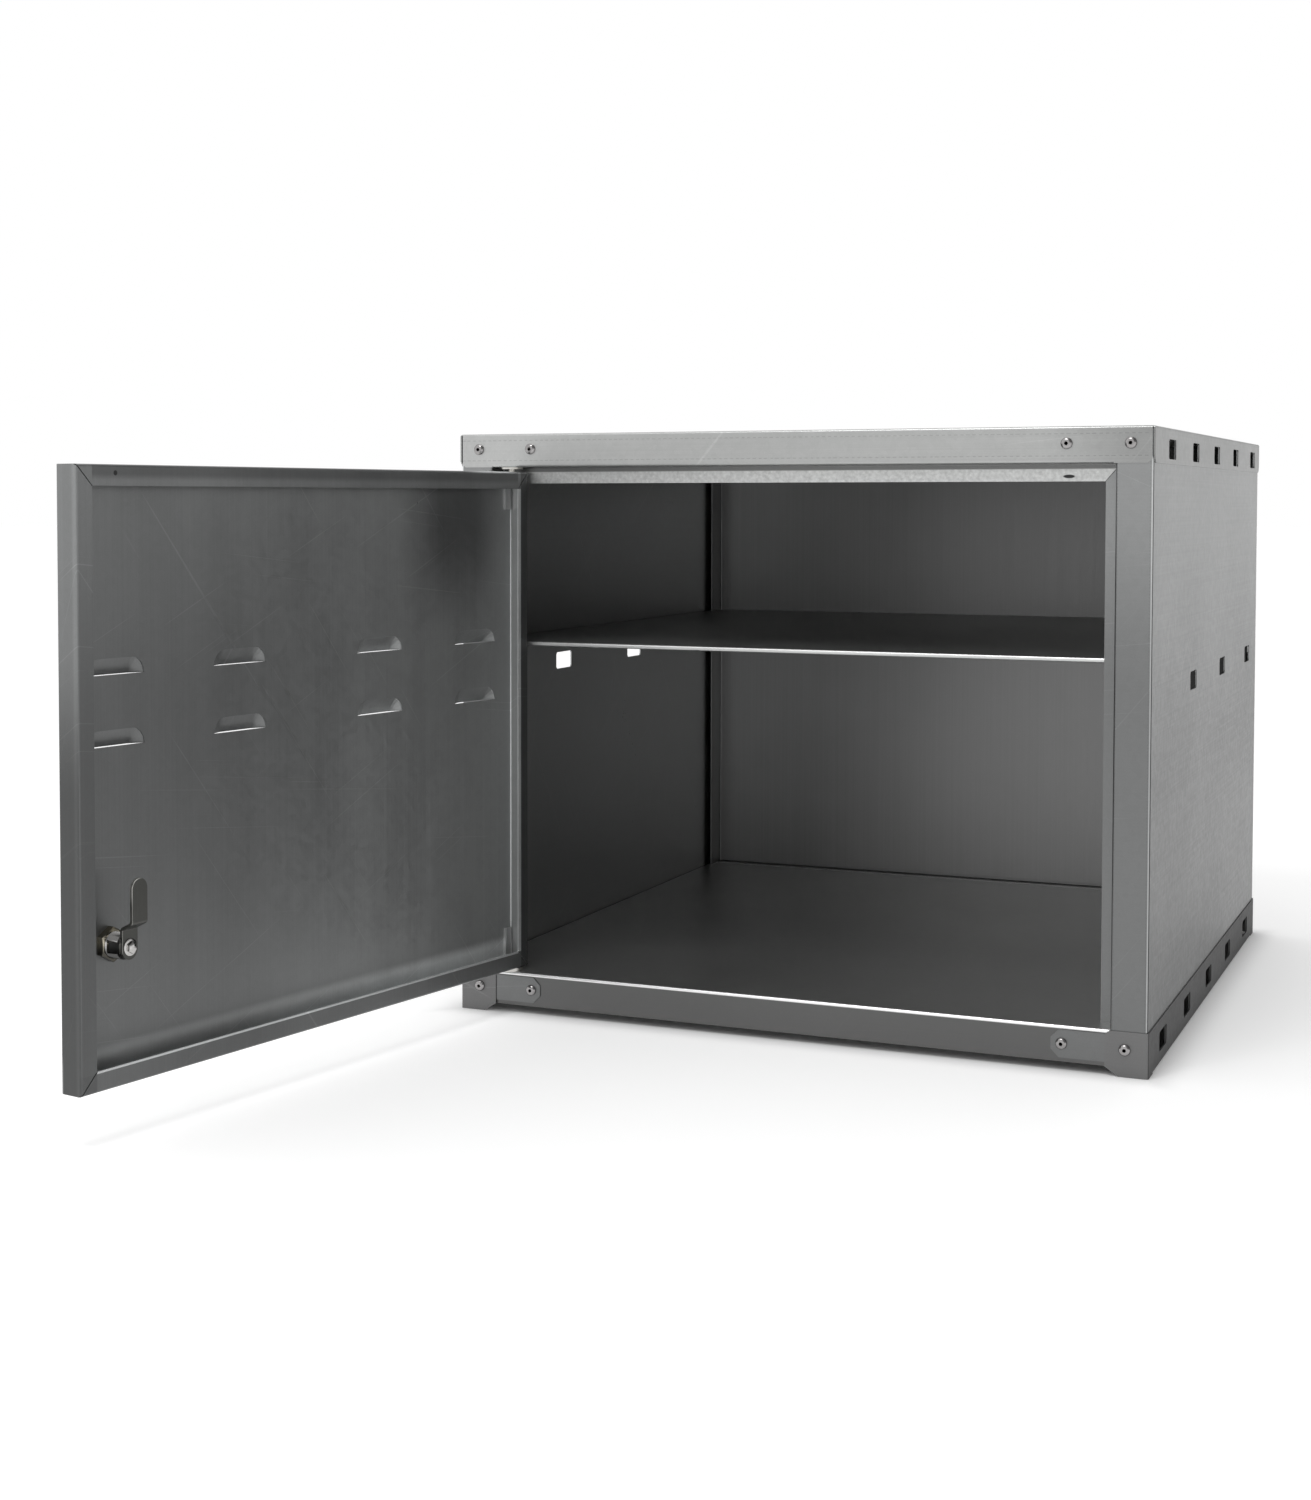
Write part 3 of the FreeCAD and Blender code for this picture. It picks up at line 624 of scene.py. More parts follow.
@dataclass(frozen=True)
class ZincHardware:
    """Bright zinc plate on screws, nuts and pins, with a little tarnish in its clouds and, where asked,
    painted shade over its lower part.
    """

    name: str
    tone: tuple[float, float, float] = (0.62, 0.61, 0.58)
    tarnish: tuple[float, float, float] = (0.40, 0.36, 0.28)
    tarnish_share: float = 0.35
    roughness: float = 0.24
    # share of painted shade over the lower part, and the heights over which it fades out
    low_shade_share: float = 0.0
    low_shade_heights: tuple[float, float] = (0.0, 1.0)
    cloud_scale: float = 120.0
    cloud_range: tuple[float, float] = (0.45, 0.75)
    grain_scale: float = 2600.0
    grain_depth: float = 0.03 * MM
    grain_strength: float = 0.15
    rough_clouds: float = 0.16
    rough_grain: float = 0.08

    def build(self) -> bpy.types.Material:
        """Make the material.

        Returns:
            The finished material.
        """
        material = bpy.data.materials.new(self.name)
        tree = ShaderTree(material)
        place = tree.place()
        clouds = tree.noise(place, self.cloud_scale, detail=3.0, roughness=0.6)
        grain = tree.noise(place, self.grain_scale, detail=1.0)
        dulled = clouds.rise(*self.cloud_range) * self.tarnish_share
        colour = tree.mixed(dulled, (*self.tone, 1.0), (*self.tarnish, 1.0))
        # painted shade: the colour darkens below the given heights
        if self.low_shade_share:
            low = 1.0 - tree.parts(place)[Z].rise(*self.low_shade_heights)
            colour = tree.mixed(low * self.low_shade_share, colour, LOW_SHADE_COLOUR)
        rough = self.roughness + self.rough_clouds * (clouds - 0.5) + self.rough_grain * (grain - 0.5)
        tree.finish_metal(colour, 1.0, rough, tree.relief(self.grain_strength, self.grain_depth, grain))
        return material


# Meshes

def turned_radius(outline: Outline, radius: float, turn: float, flat: float) -> float:
    """Distance from the axis to an outline in one direction.

    Args:
        outline: kind of outline.
        radius: radius of a round, or half the width across flats of a hexagon.
        turn: direction in radians.
        flat: half the width across the two flats of a flatted round.

    Returns:
        The distance.
    """
    if outline is Outline.HEXAGON:
        sector = math.pi / 3
        return radius / math.cos((turn + sector / 2) % sector - sector / 2)
    if outline is Outline.FLATTED:
        return min(radius, flat / max(abs(math.cos(turn)), 1e-6))
    return radius


@dataclass(frozen=True)
class Ring:
    """One ring of a turned piece, which drops away beyond the radius of its chamfer."""

    radius: float
    height: float
    outline: Outline = Outline.ROUND
    chamfer: float = 0.0


class TurnedPiece:
    """Piece made of rings round one axis, each bridged to the next."""

    def __init__(self, segments: int = 48, flat: float = 1.0) -> None:
        """Start with no rings.

        Args:
            segments: vertices of each ring.
            flat: half the width across flats, for flatted rings.
        """
        self.segments = segments
        self.flat = flat
        self.rings: list[Ring] = []

    def add(self, *rings: Ring) -> "TurnedPiece":
        """Add rings in order.

        Args:
            *rings: the rings.

        Returns:
            The piece itself.
        """
        self.rings += rings
        return self

    def build(self, bored: bool = False) -> bmesh.types.BMesh:
        """Bridge the rings.

        Args:
            bored: whether the last ring joins the first, as round a bore; otherwise both ends are capped.

        Returns:
            The mesh, with its axis along Z.
        """
        mesh = bmesh.new()
        loops = []
        for ring in self.rings:
            made = bmesh.ops.create_circle(mesh, segments=self.segments, radius=1.0, cap_ends=False)
            for vertex in made["verts"]:
                turn = math.atan2(vertex.co.y, vertex.co.x)
                reach = turned_radius(ring.outline, ring.radius, turn, self.flat)
                drop = max(reach - ring.chamfer, 0.0) * CHAMFER_SLOPE if ring.chamfer else 0.0
                vertex.co = Vector((reach * math.cos(turn), reach * math.sin(turn), ring.height - drop))
            loops.append([edge for edge in mesh.edges if all(v in made["verts"] for v in edge.verts)])
        pairs = list(zip(loops, loops[1:]))
        if bored:
            pairs.append((loops[-1], loops[0]))
        for first, second in pairs:
            bmesh.ops.bridge_loops(mesh, edges=first + second)
        if not bored:
            bmesh.ops.holes_fill(mesh, edges=loops[0] + loops[-1], sides=0)
        bmesh.ops.recalc_face_normals(mesh, faces=mesh.faces)
        return mesh


def mesh_data(name: str, mesh: bmesh.types.BMesh) -> bpy.types.Mesh:
    """Turn a working mesh into mesh data.

    Args:
        name: name of the data.
        mesh: the working mesh, which is freed.

    Returns:
        The data.
    """
    data = bpy.data.meshes.new(name)
    mesh.to_mesh(data)
    mesh.free()
    return data


def new_object(name: str, data: bpy.types.ID) -> bpy.types.Object:
    """Put a new object into the scene.

    Args:
        name: its name.
        data: its mesh, lamp or camera.

    Returns:
        The object.
    """
    made = bpy.data.objects.new(name, data)
    bpy.context.scene.collection.objects.link(made)
    return made


def joined(meshes: Sequence[bmesh.types.BMesh]) -> bmesh.types.BMesh:
    """Join meshes into one.

    Args:
        meshes: the meshes, which are freed.

    Returns:
        The joined mesh.
    """
    whole = bmesh.new()
    for mesh in meshes:
        part = mesh_data("part", mesh)
        whole.from_mesh(part)
        bpy.data.meshes.remove(part)
    return whole


def place_hardware(name: str, mesh: bmesh.types.BMesh, material: bpy.types.Material, body: str,
                   node: str) -> None:
    """Make a finished piece of zinc-plated hardware and hand it to the frame.

    Args:
        name: name of the piece.
        mesh: its mesh in place, which is freed.
        material: its finish.
        body: body that it rides on.
        node: solid that it replaces.
    """
    data = mesh_data(name, mesh)
    data.polygons.foreach_set("use_smooth", [True] * len(data.polygons))
    data.set_sharp_from_angle(angle=math.radians(SHARP_DEGREES))
    data.materials.append(material)
    piece = new_object(name, data)
    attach(piece, body)
    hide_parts(node)
    log.info("%s: %d faces, rides on %s", name, len(data.polygons), body)


def dress(node: str, material: bpy.types.Material) -> None:
    """Give a solid its finish.

    Args:
        node: name of the solid.
        material: its finish.
    """
    solid = frame["nodes"][node]
    solid.data.materials.clear()
    solid.data.materials.append(material)
    log.info("%s: dressed as %s", node, material.name)


# Sub-assemblies

def joint_of(name: str) -> dict:
    """The frame's joint of one name."""
    return next(joint for joint in frame["joints"] if joint["name"] == name)


def door_hanging() -> Hanging:
    """Turn by which the door stands open."""
    joint = joint_of("door_hinge")
    return Hanging(tuple(joint["pos_m"]), math.radians(joint["range_deg"][1]))


def shut_box(node: str) -> tuple[Vector, Vector]:
    """Lowest and highest corner of a solid of the door, with the door shut.

    Args:
        node: name of the solid.

    Returns:
        The two corners.
    """
    hanging = door_hanging()
    stand = Matrix.Translation(hanging.pivot)
    turn = stand @ Matrix.Rotation(hanging.angle, 4, "Z") @ stand.inverted()
    places = [turn @ vertex.co for vertex in frame["nodes"][node].data.vertices]
    low = Vector([min(place[part] for place in places) for part in (X, Y, Z)])
    high = Vector([max(place[part] for place in places) for part in (X, Y, Z)])
    return low, high


@dataclass
class Carcass:
    """Body of the cupboard: lid, sides, back, floor, rails, shelf and its brackets."""

    sheet: float = 1.0 * MM
    skin: Reach = Reach(0.5 * MM, 0.2 * MM)
    lid_flange: float = 29.0 * MM
    lid_front: Reach = Reach(1.0 * MM)
    lid_left_light: Reach = Reach(200.0 * MM, 200.0 * MM)
    lid_right_shade: Reach = Reach(-50.0 * MM, 90.0 * MM)
    lid_mark_shares: tuple[float, float] = (0.2, 0.8)
    lid_mark_dash: float = 5.0 * MM
    lintel_face: float = -299.3 * MM
    lintel_sheet: Reach = Reach(1.0 * MM, 0.2 * MM)
    lintel_shade: Reach = Reach(-4.0 * MM)
    hole_squeeze: tuple[float, float, float] = (0.4, 1.0, 1.3)
    stile_fold_shade: Reach = Reach(1.9 * MM, 0.3 * MM)
    stile_marks: tuple[float, float] = (271.5 * MM, 296.6 * MM)
    stile_mark_dash: float = 2.6 * MM
    wall_top_shade: Reach = Reach(330.0 * MM, 120.0 * MM)
    wall_shade: Reach = Reach(300.0 * MM, 160.0 * MM)
    rail_rear_shade: Reach = Reach(150.0 * MM, 200.0 * MM)
    back_top_shade: Reach = Reach(-5.0 * MM, 4.0 * MM)
    back_corner_shade: Reach = Reach(213.0 * MM, 50.0 * MM)
    tray_bend_highlight_depth: Reach = Reach(1.8 * MM, 0.4 * MM)
    tray_bend_highlight_drop: Reach = Reach(-2.2 * MM, 0.4 * MM)
    apron_shade_heights: tuple[float, float] = (33.0 * MM, 34.0 * MM)
    shelf_fold_highlight: Reach = Reach(1.5 * MM)

    def flank(self, node: str, side: float, depth: float = 0.0) -> Span:
        """Span of x that holds the outer face of a side piece.

        Args:
            node: name of the solid.
            side: one on the right and minus one on the left.
            depth: how far further in the span lies.

        Returns:
            The span.
        """
        low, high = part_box(node)
        outer = high.x if side > 0 else low.x
        return Span.around(outer - side * depth, self.skin)

    def flange_bottom(self) -> float:
        """Height at which the flanges of the lid end."""
        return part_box("lid_panel")[1].z - self.lid_flange

    def lid(self) -> GalvanisedSheet:
        """Finish of the lid: press marks along its front flange, painted light and shade on the flange, its
        flanks and the lintel, and a buffer hole drawn as a dark spot.

        Returns:
            The finish.
        """
        low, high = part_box("lid_panel")
        bottom = self.flange_bottom()
        marks = tuple(DashedMark(Z, bottom + self.lid_flange * share, X, Y, low.y, self.lid_mark_dash,
                                 gap_share=0.45) for share in self.lid_mark_shares)
        front = Span.under(low.y, self.lid_front)
        lintel = Span.around(self.lintel_face, self.lintel_sheet)
        # painted light and shade: a bright speckled lintel, shade under the flange, a darker right end, a
        # lighter left end and darker flanks
        bands = (
            PaintedShadingBand(1.25, y=lintel, z=Span.under(bottom, self.lintel_shade), speckle=0.9),
            PaintedShadingBand(0.42, y=lintel, z=Span(bottom + self.lintel_shade.distance, bottom)),
            PaintedShadingBand(0.72, x=Span.over(high.x, self.lid_right_shade), y=front),
            PaintedShadingBand(1.1, x=Span.under(low.x, self.lid_left_light), y=front),
            PaintedShadingBand(0.58, x=self.flank("lid_panel", 1.0)),
            PaintedShadingBand(0.58, x=self.flank("lid_panel", -1.0)),
        )
        hole = PiercedDot((BUFFER_ACROSS, self.lintel_face, BUFFER_LEVEL), squeeze=self.hole_squeeze)
        return GalvanisedSheet("lid_zinc", tone=(0.435, 0.44, 0.435), marks=marks, bands=bands, dots=(hole,))

    def side(self, node: str, side: float) -> GalvanisedSheet:
        """Finish of a side panel: press marks on its stile, a painted highlight one sheet in from its outer
        face, painted shade in the fold by the stile and painted shade over the wall that deepens downwards.

        Args:
            node: name of the solid.
            side: one on the right and minus one on the left.

        Returns:
            The finish.
        """
        stile_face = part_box(node)[0].y
        marks = tuple(DashedMark(X, side * place, Z, Y, stile_face, self.stile_mark_dash, gap_share=0.5,
                                 strength=0.12) for place in self.stile_marks)
        wall = self.flank(node, side)
        # painted light and shade
        bands = (
            PaintedShadingBand(2.2, x=self.flank(node, side, self.sheet)),
            PaintedShadingBand(0.88, x=wall, z=Span.over(0.0, self.wall_top_shade)),
            PaintedShadingBand(0.5, x=wall, z=Span.under(0.0, self.wall_shade)),
            PaintedShadingBand(0.4, x=wall, y=Span.under(stile_face, self.stile_fold_shade)),
        )
        return GalvanisedSheet(node + "_zinc", tone=(0.285, 0.29, 0.29), lines=0.05, low_painted_shade=0.36,
                               marks=marks, bands=bands)

    def rail(self, node: str, side: float) -> GalvanisedSheet:
        """Finish of a base rail, with painted shade on its flank that is deepest towards the rear.

        Args:
            node: name of the solid.
            side: one on the right and minus one on the left.

        Returns:
            The finish.
        """
        flank = self.flank(node, side)
        bands = (PaintedShadingBand(0.36, x=flank), PaintedShadingBand(0.6, x=flank, y=Span.over(0.0, self.rail_rear_shade)))
        return GalvanisedSheet(node + "_zinc", tone=(0.2, 0.2, 0.2), roughness=0.55, clouding=0.2,
                               bands=bands)

    def back(self) -> GalvanisedSheet:
        """Finish of the back panel: a dark tone that paints the shade inside the closed box, and more painted
        shade under the lid and in its right corner, on both of its faces.

        Returns:
            The finish.
        """
        bands = (
            PaintedShadingBand(0.25, z=Span.over(self.flange_bottom(), self.back_top_shade)),
            PaintedShadingBand(0.2, x=Span.over(0.0, self.back_corner_shade)),
        )
        return GalvanisedSheet("back_zinc", tone=(0.22, 0.22, 0.22), rolled=Axis.UPRIGHT, clouding=0.2,
                               spangle=0.0, scratching=0.0, relief=0.04, grit=0.02, bands=bands)

    def tray(self) -> GalvanisedSheet:
        """Finish of the floor tray: a pale tone that paints light onto the floor inside, painted shade that
        darkens the apron, and a painted highlight on the bend between them.

        Returns:
            The finish.
        """
        low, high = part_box("floor_tray")
        # painted highlight on the bend between apron and floor
        bend = PaintedShadingBand(2.2, y=Span.under(low.y, self.tray_bend_highlight_depth),
                        z=Span.over(high.z, self.tray_bend_highlight_drop))
        return GalvanisedSheet("floor_zinc", tone=(0.80, 0.80, 0.795), lines=0.03, spangle=0.02,
                               scratching=0.02, relief=0.02, grit=0.0, low_painted_shade=0.83,
                               low_painted_shade_heights=self.apron_shade_heights, bands=(bend,))

    def shelf(self) -> GalvanisedSheet:
        """Finish of the shelf, with a painted highlight on its front fold.

        Returns:
            The finish.
        """
        fold_highlight = PaintedShadingBand(1.6, y=Span.under(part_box("shelf")[0].y, self.shelf_fold_highlight))
        return GalvanisedSheet("shelf_zinc", spangle=0.0, scratching=0.0, lines=0.04, bands=(fold_highlight,))

    def build(self) -> None:
        """Dress every solid of the body."""
        dress("lid_panel", self.lid().build())
        for word, side in (("right", 1.0), ("left", -1.0)):
            wall = "side_panel_" + word
            rail = "base_rail_" + word
            dress(wall, self.side(wall, side).build())
            dress(rail, self.rail(rail, side).build())
        dress("back_panel", self.back().build())
        dress("floor_tray", self.tray().build())
        dress("shelf", self.shelf().build())
        bracket_zinc = GalvanisedSheet("bracket_zinc", rolled=Axis.DEEP).build()
        for place in ("front", "rear"):
            for word in ("left", "right"):
                dress(f"shelf_bracket_{place}_{word}", bracket_zinc)


@dataclass
class ButtonScrews:
    """Button-head screws with hexagon sockets at the corners of the body."""

    head_radius: float = 4.7 * MM
    head_height: float = 2.8 * MM
    rim_height: float = 0.5 * MM
    socket_half: float = 1.3 * MM
    socket_lip: float = 0.15 * MM
    socket_depth: float = 0.3 * MM
    crown_rings: int = 7
    crown_flat: float = 0.55 * MM
    shank_radius: float = 2.45 * MM
    shank_length: float = 10.0 * MM
    inset_places: tuple[float, float] = (18.4 * MM, 68.0 * MM)
    apron_step: float = 1.0 * MM
    socket_turn: float = 0.5
    turn_inward: float = 1.3
    turn_sideways: float = 0.4

    def head(self) -> bmesh.types.BMesh:
        """Head and shank of one screw, seated at the origin with its head towards +Z.

        Returns:
            The mesh.
        """
        inner = self.socket_half + self.socket_lip
        crown = inner + self.crown_flat
        rings = [
            Ring(self.shank_radius, -self.shank_length),
            Ring(self.shank_radius, 0.0),
            Ring(self.head_radius, 0.0),
            Ring(self.head_radius, self.rim_height),
        ]
        for step in range(1, self.crown_rings + 1):
            turn = math.pi / 2 * step / self.crown_rings
            radius = crown + (self.head_radius - crown) * math.cos(turn)
            height = self.rim_height + (self.head_height - self.rim_height) * math.sin(turn)
            rings.append(Ring(radius, height))
        rings += [
            Ring(inner, self.head_height),
            Ring(self.socket_half, self.head_height - self.socket_lip, Outline.HEXAGON),
            Ring(self.socket_half, self.head_height - self.socket_depth, Outline.HEXAGON),
        ]
        return TurnedPiece(segments=36).add(*rings).build()

    def row(self, node: str, material: bpy.types.Material) -> None:
        """Put screws where one group of plain screws stands.

        Args:
            node: name of the group.
            material: finish of the screws.
        """
        low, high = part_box(node)
        rear = low.y > 0
        level = (low.z + high.z) / 2
        outward = 1.0 if rear else -1.0
        half_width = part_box("lid_panel")[1].x
        outer_seat = (high.y if rear else -low.y) - self.head_height
        inner_seat = outer_seat - (self.apron_step if node == "base_screws_front" else 0.0)
        seats = list(zip(self.inset_places, (outer_seat, inner_seat)))
        if rear:
            seats = seats[:1]
        screws = []
        for index, (inset, seat) in enumerate(seats):
            for side in (-1.0, 1.0):
                screw = self.head()
                angle = self.socket_turn + self.turn_inward * index + self.turn_sideways * side
                turn = Matrix.Rotation(angle, 4, "Z")
                lean = Matrix.Rotation(-outward * math.pi / 2, 4, "X")
                spot = Matrix.Translation((side * (half_width - inset), seat * outward, level))
                bmesh.ops.transform(screw, matrix=spot @ lean @ turn, verts=screw.verts)
                screws.append(screw)
        place_hardware("button_" + node, joined(screws), material, "cabinet", node)

    def build(self) -> None:
        """Make all four rows."""
        plate = ZincHardware("screw_zinc", tone=(0.36, 0.35, 0.35), tarnish=(0.24, 0.23, 0.22),
                             roughness=0.2).build()
        for node in ("lid_screws_front", "lid_screws_rear", "base_screws_front", "base_screws_rear"):
            self.row(node, plate)


@dataclass
class CamLock:
    """Quarter-turn lock: threaded barrel, chamfered nut, cranked cam and its domed screw."""

    skin: float = 1.0 * MM
    head_radius: float = 12.0 * MM
    head_height: float = 3.0 * MM
    head_edge: float = 0.8 * MM
    barrel_radius: float = 9.5 * MM
    barrel_length: float = 20.0 * MM
    barrel_flat: float = 8.25 * MM
    thread_pitch: float = 1.25 * MM
    thread_depth: float = 0.55 * MM
    bore_radius: float = 6.05 * MM
    nut_half: float = 11.0 * MM
    nut_height: float = 6.0 * MM
    nut_bore: float = 9.55 * MM
    nut_chamfer_share: float = 0.97
    nut_bevel: float = 0.5 * MM
    screw_seat: float = 22.3 * MM
    screw_half: float = 3.9 * MM
    screw_height: float = 4.0 * MM
    hexagon_shares: tuple[float, float] = (0.94, 0.92)
    hexagon_drop: float = 0.7 * MM
    dome_shares: tuple[float, float] = (0.72, 0.3)
    dome_drop: float = 0.2 * MM
    washer_radius: float = 6.2 * MM
    washer_height: float = 1.1 * MM
    washer_shares: tuple[float, float] = (0.8, 0.6)
    screw_shank: float = 2.45 * MM
    screw_length: float = 9.0 * MM
    cam_half: float = 7.5 * MM
    shade_shares: tuple[float, float] = (-0.5, 0.4)

    def stand(self) -> Matrix:
        """Place and turn of the lock: its own Z runs inwards from the door's outer face and its Y is up.

        Returns:
            The transform.
        """
        joint = joint_of("lock_turn")
        inward = Vector(joint["axis"]).normalized()
        up = Vector((0.0, 0.0, 1.0))
        side = up.cross(inward)
        turn = Matrix((side, up, inward)).transposed().to_4x4()
        return Matrix.Translation(joint["pos_m"]) @ turn

    def barrel(self) -> bmesh.types.BMesh:
        """Round head and threaded, flatted barrel with its bore.

        Returns:
            The mesh in the lock's own frame.
        """
        rings = [
            Ring(self.bore_radius, -self.head_height),
            Ring(self.head_radius - self.head_edge, -self.head_height),
            Ring(self.head_radius, -self.head_height + self.head_edge),
            Ring(self.head_radius, 0.0),
            Ring(self.barrel_radius, 0.0),
            Ring(self.barrel_radius, self.skin + self.nut_height),
        ]
        level = self.skin + self.nut_height + self.thread_pitch / 2
        root = self.barrel_radius - self.thread_depth
        while level < self.barrel_length - self.thread_pitch:
            rings.append(Ring(root, level, Outline.FLATTED))
            rings.append(Ring(self.barrel_radius, level + self.thread_pitch / 2, Outline.FLATTED))
            level += self.thread_pitch
        rings.append(Ring(root, self.barrel_length, Outline.FLATTED))
        rings.append(Ring(self.bore_radius, self.barrel_length))
        return TurnedPiece(segments=64, flat=self.barrel_flat).add(*rings).build(bored=True)

    def nut(self) -> bmesh.types.BMesh:
        """Hexagon nut, chamfered on its free face.

        Returns:
            The mesh in the lock's own frame.
        """
        top = self.skin + self.nut_height
        chamfer = self.nut_half * self.nut_chamfer_share
        nut = TurnedPiece(segments=72).add(
            Ring(self.nut_bore, self.skin),
            Ring(self.nut_half, self.skin, Outline.HEXAGON),
            Ring(self.nut_half, top, Outline.HEXAGON, chamfer),
            Ring(chamfer, top),
            Ring(self.nut_bore + self.nut_bevel, top),
            Ring(self.nut_bore, top - self.nut_bevel),
        )
        return nut.build(bored=True)

    def screw(self) -> bmesh.types.BMesh:
        """Hexagon screw with a flange and a domed head, which holds the cam.

        Returns:
            The mesh in the lock's own frame.
        """
        seat = self.screw_seat
        top = seat + self.screw_height
        slope, rim = self.washer_shares
        edge, chamfer = (self.screw_half * share for share in self.hexagon_shares)
        shoulder, crown = (self.screw_half * share for share in self.dome_shares)
        screw = TurnedPiece(segments=48).add(
            Ring(self.screw_shank, top - self.screw_length),
            Ring(self.screw_shank, seat),
            Ring(self.washer_radius, seat),
            Ring(self.washer_radius, seat + self.washer_height * rim),
            Ring(self.washer_radius * slope, seat + self.washer_height),
            Ring(self.screw_half, seat + self.washer_height, Outline.HEXAGON),
            Ring(edge, top - self.hexagon_drop, Outline.HEXAGON, chamfer),
            Ring(shoulder, top - self.dome_drop),
            Ring(crown, top),
        )
        return screw.build()

    def build(self) -> None:
        """Make the lock's pieces and dress its cam and core."""
        plate = ZincHardware("lock_zinc").build()
        stand = self.stand()
        level = stand.translation.z
        # painted shade darkening the lower part of the barrel and nut
        shaded_heights = tuple(level + self.barrel_radius * share for share in self.shade_shares)
        bright = ZincHardware("lock_bright_zinc", tone=(0.52, 0.51, 0.50), tarnish=(0.3, 0.29, 0.27),
                              tarnish_share=0.3, roughness=0.18).build()
        barrel_zinc = ZincHardware("lock_barrel_zinc", tone=(0.56, 0.55, 0.54), tarnish=(0.3, 0.29, 0.27),
                                   tarnish_share=0.3, roughness=0.2, low_shade_share=0.85, low_shade_heights=shaded_heights).build()
        brassy = ZincHardware("lock_nut_zinc", tone=(0.56, 0.52, 0.42), tarnish=(0.40, 0.31, 0.17),
                              tarnish_share=0.6, low_shade_share=0.9, low_shade_heights=shaded_heights).build()
        low, high = shut_box("lock_cam")
        # painted highlight along the cam's rounded rim, brightest at the top
        rim = PaintedRimHighlight((low.x + high.x) / 2, high.z - self.cam_half, self.cam_half, factor=7.0)
        cam_steel = GalvanisedSheet("cam_zinc", tone=(0.085, 0.085, 0.08), rolled=Axis.UPRIGHT,
                                    bands=(rim,), hung_on=door_hanging()).build()
        pieces = (
            ("threaded_lock_barrel", self.barrel(), barrel_zinc, "door", "lock_barrel"),
            ("chamfered_lock_nut", self.nut(), brassy, "door", "lock_nut"),
            ("domed_cam_screw", self.screw(), bright, "lock_core", "cam_screw"),
        )
        for name, mesh, material, body, node in pieces:
            bmesh.ops.transform(mesh, matrix=stand, verts=mesh.verts)
            place_hardware(name, mesh, material, body, node)
        dress("lock_plug", plate)
        dress("lock_cam", cam_steel)


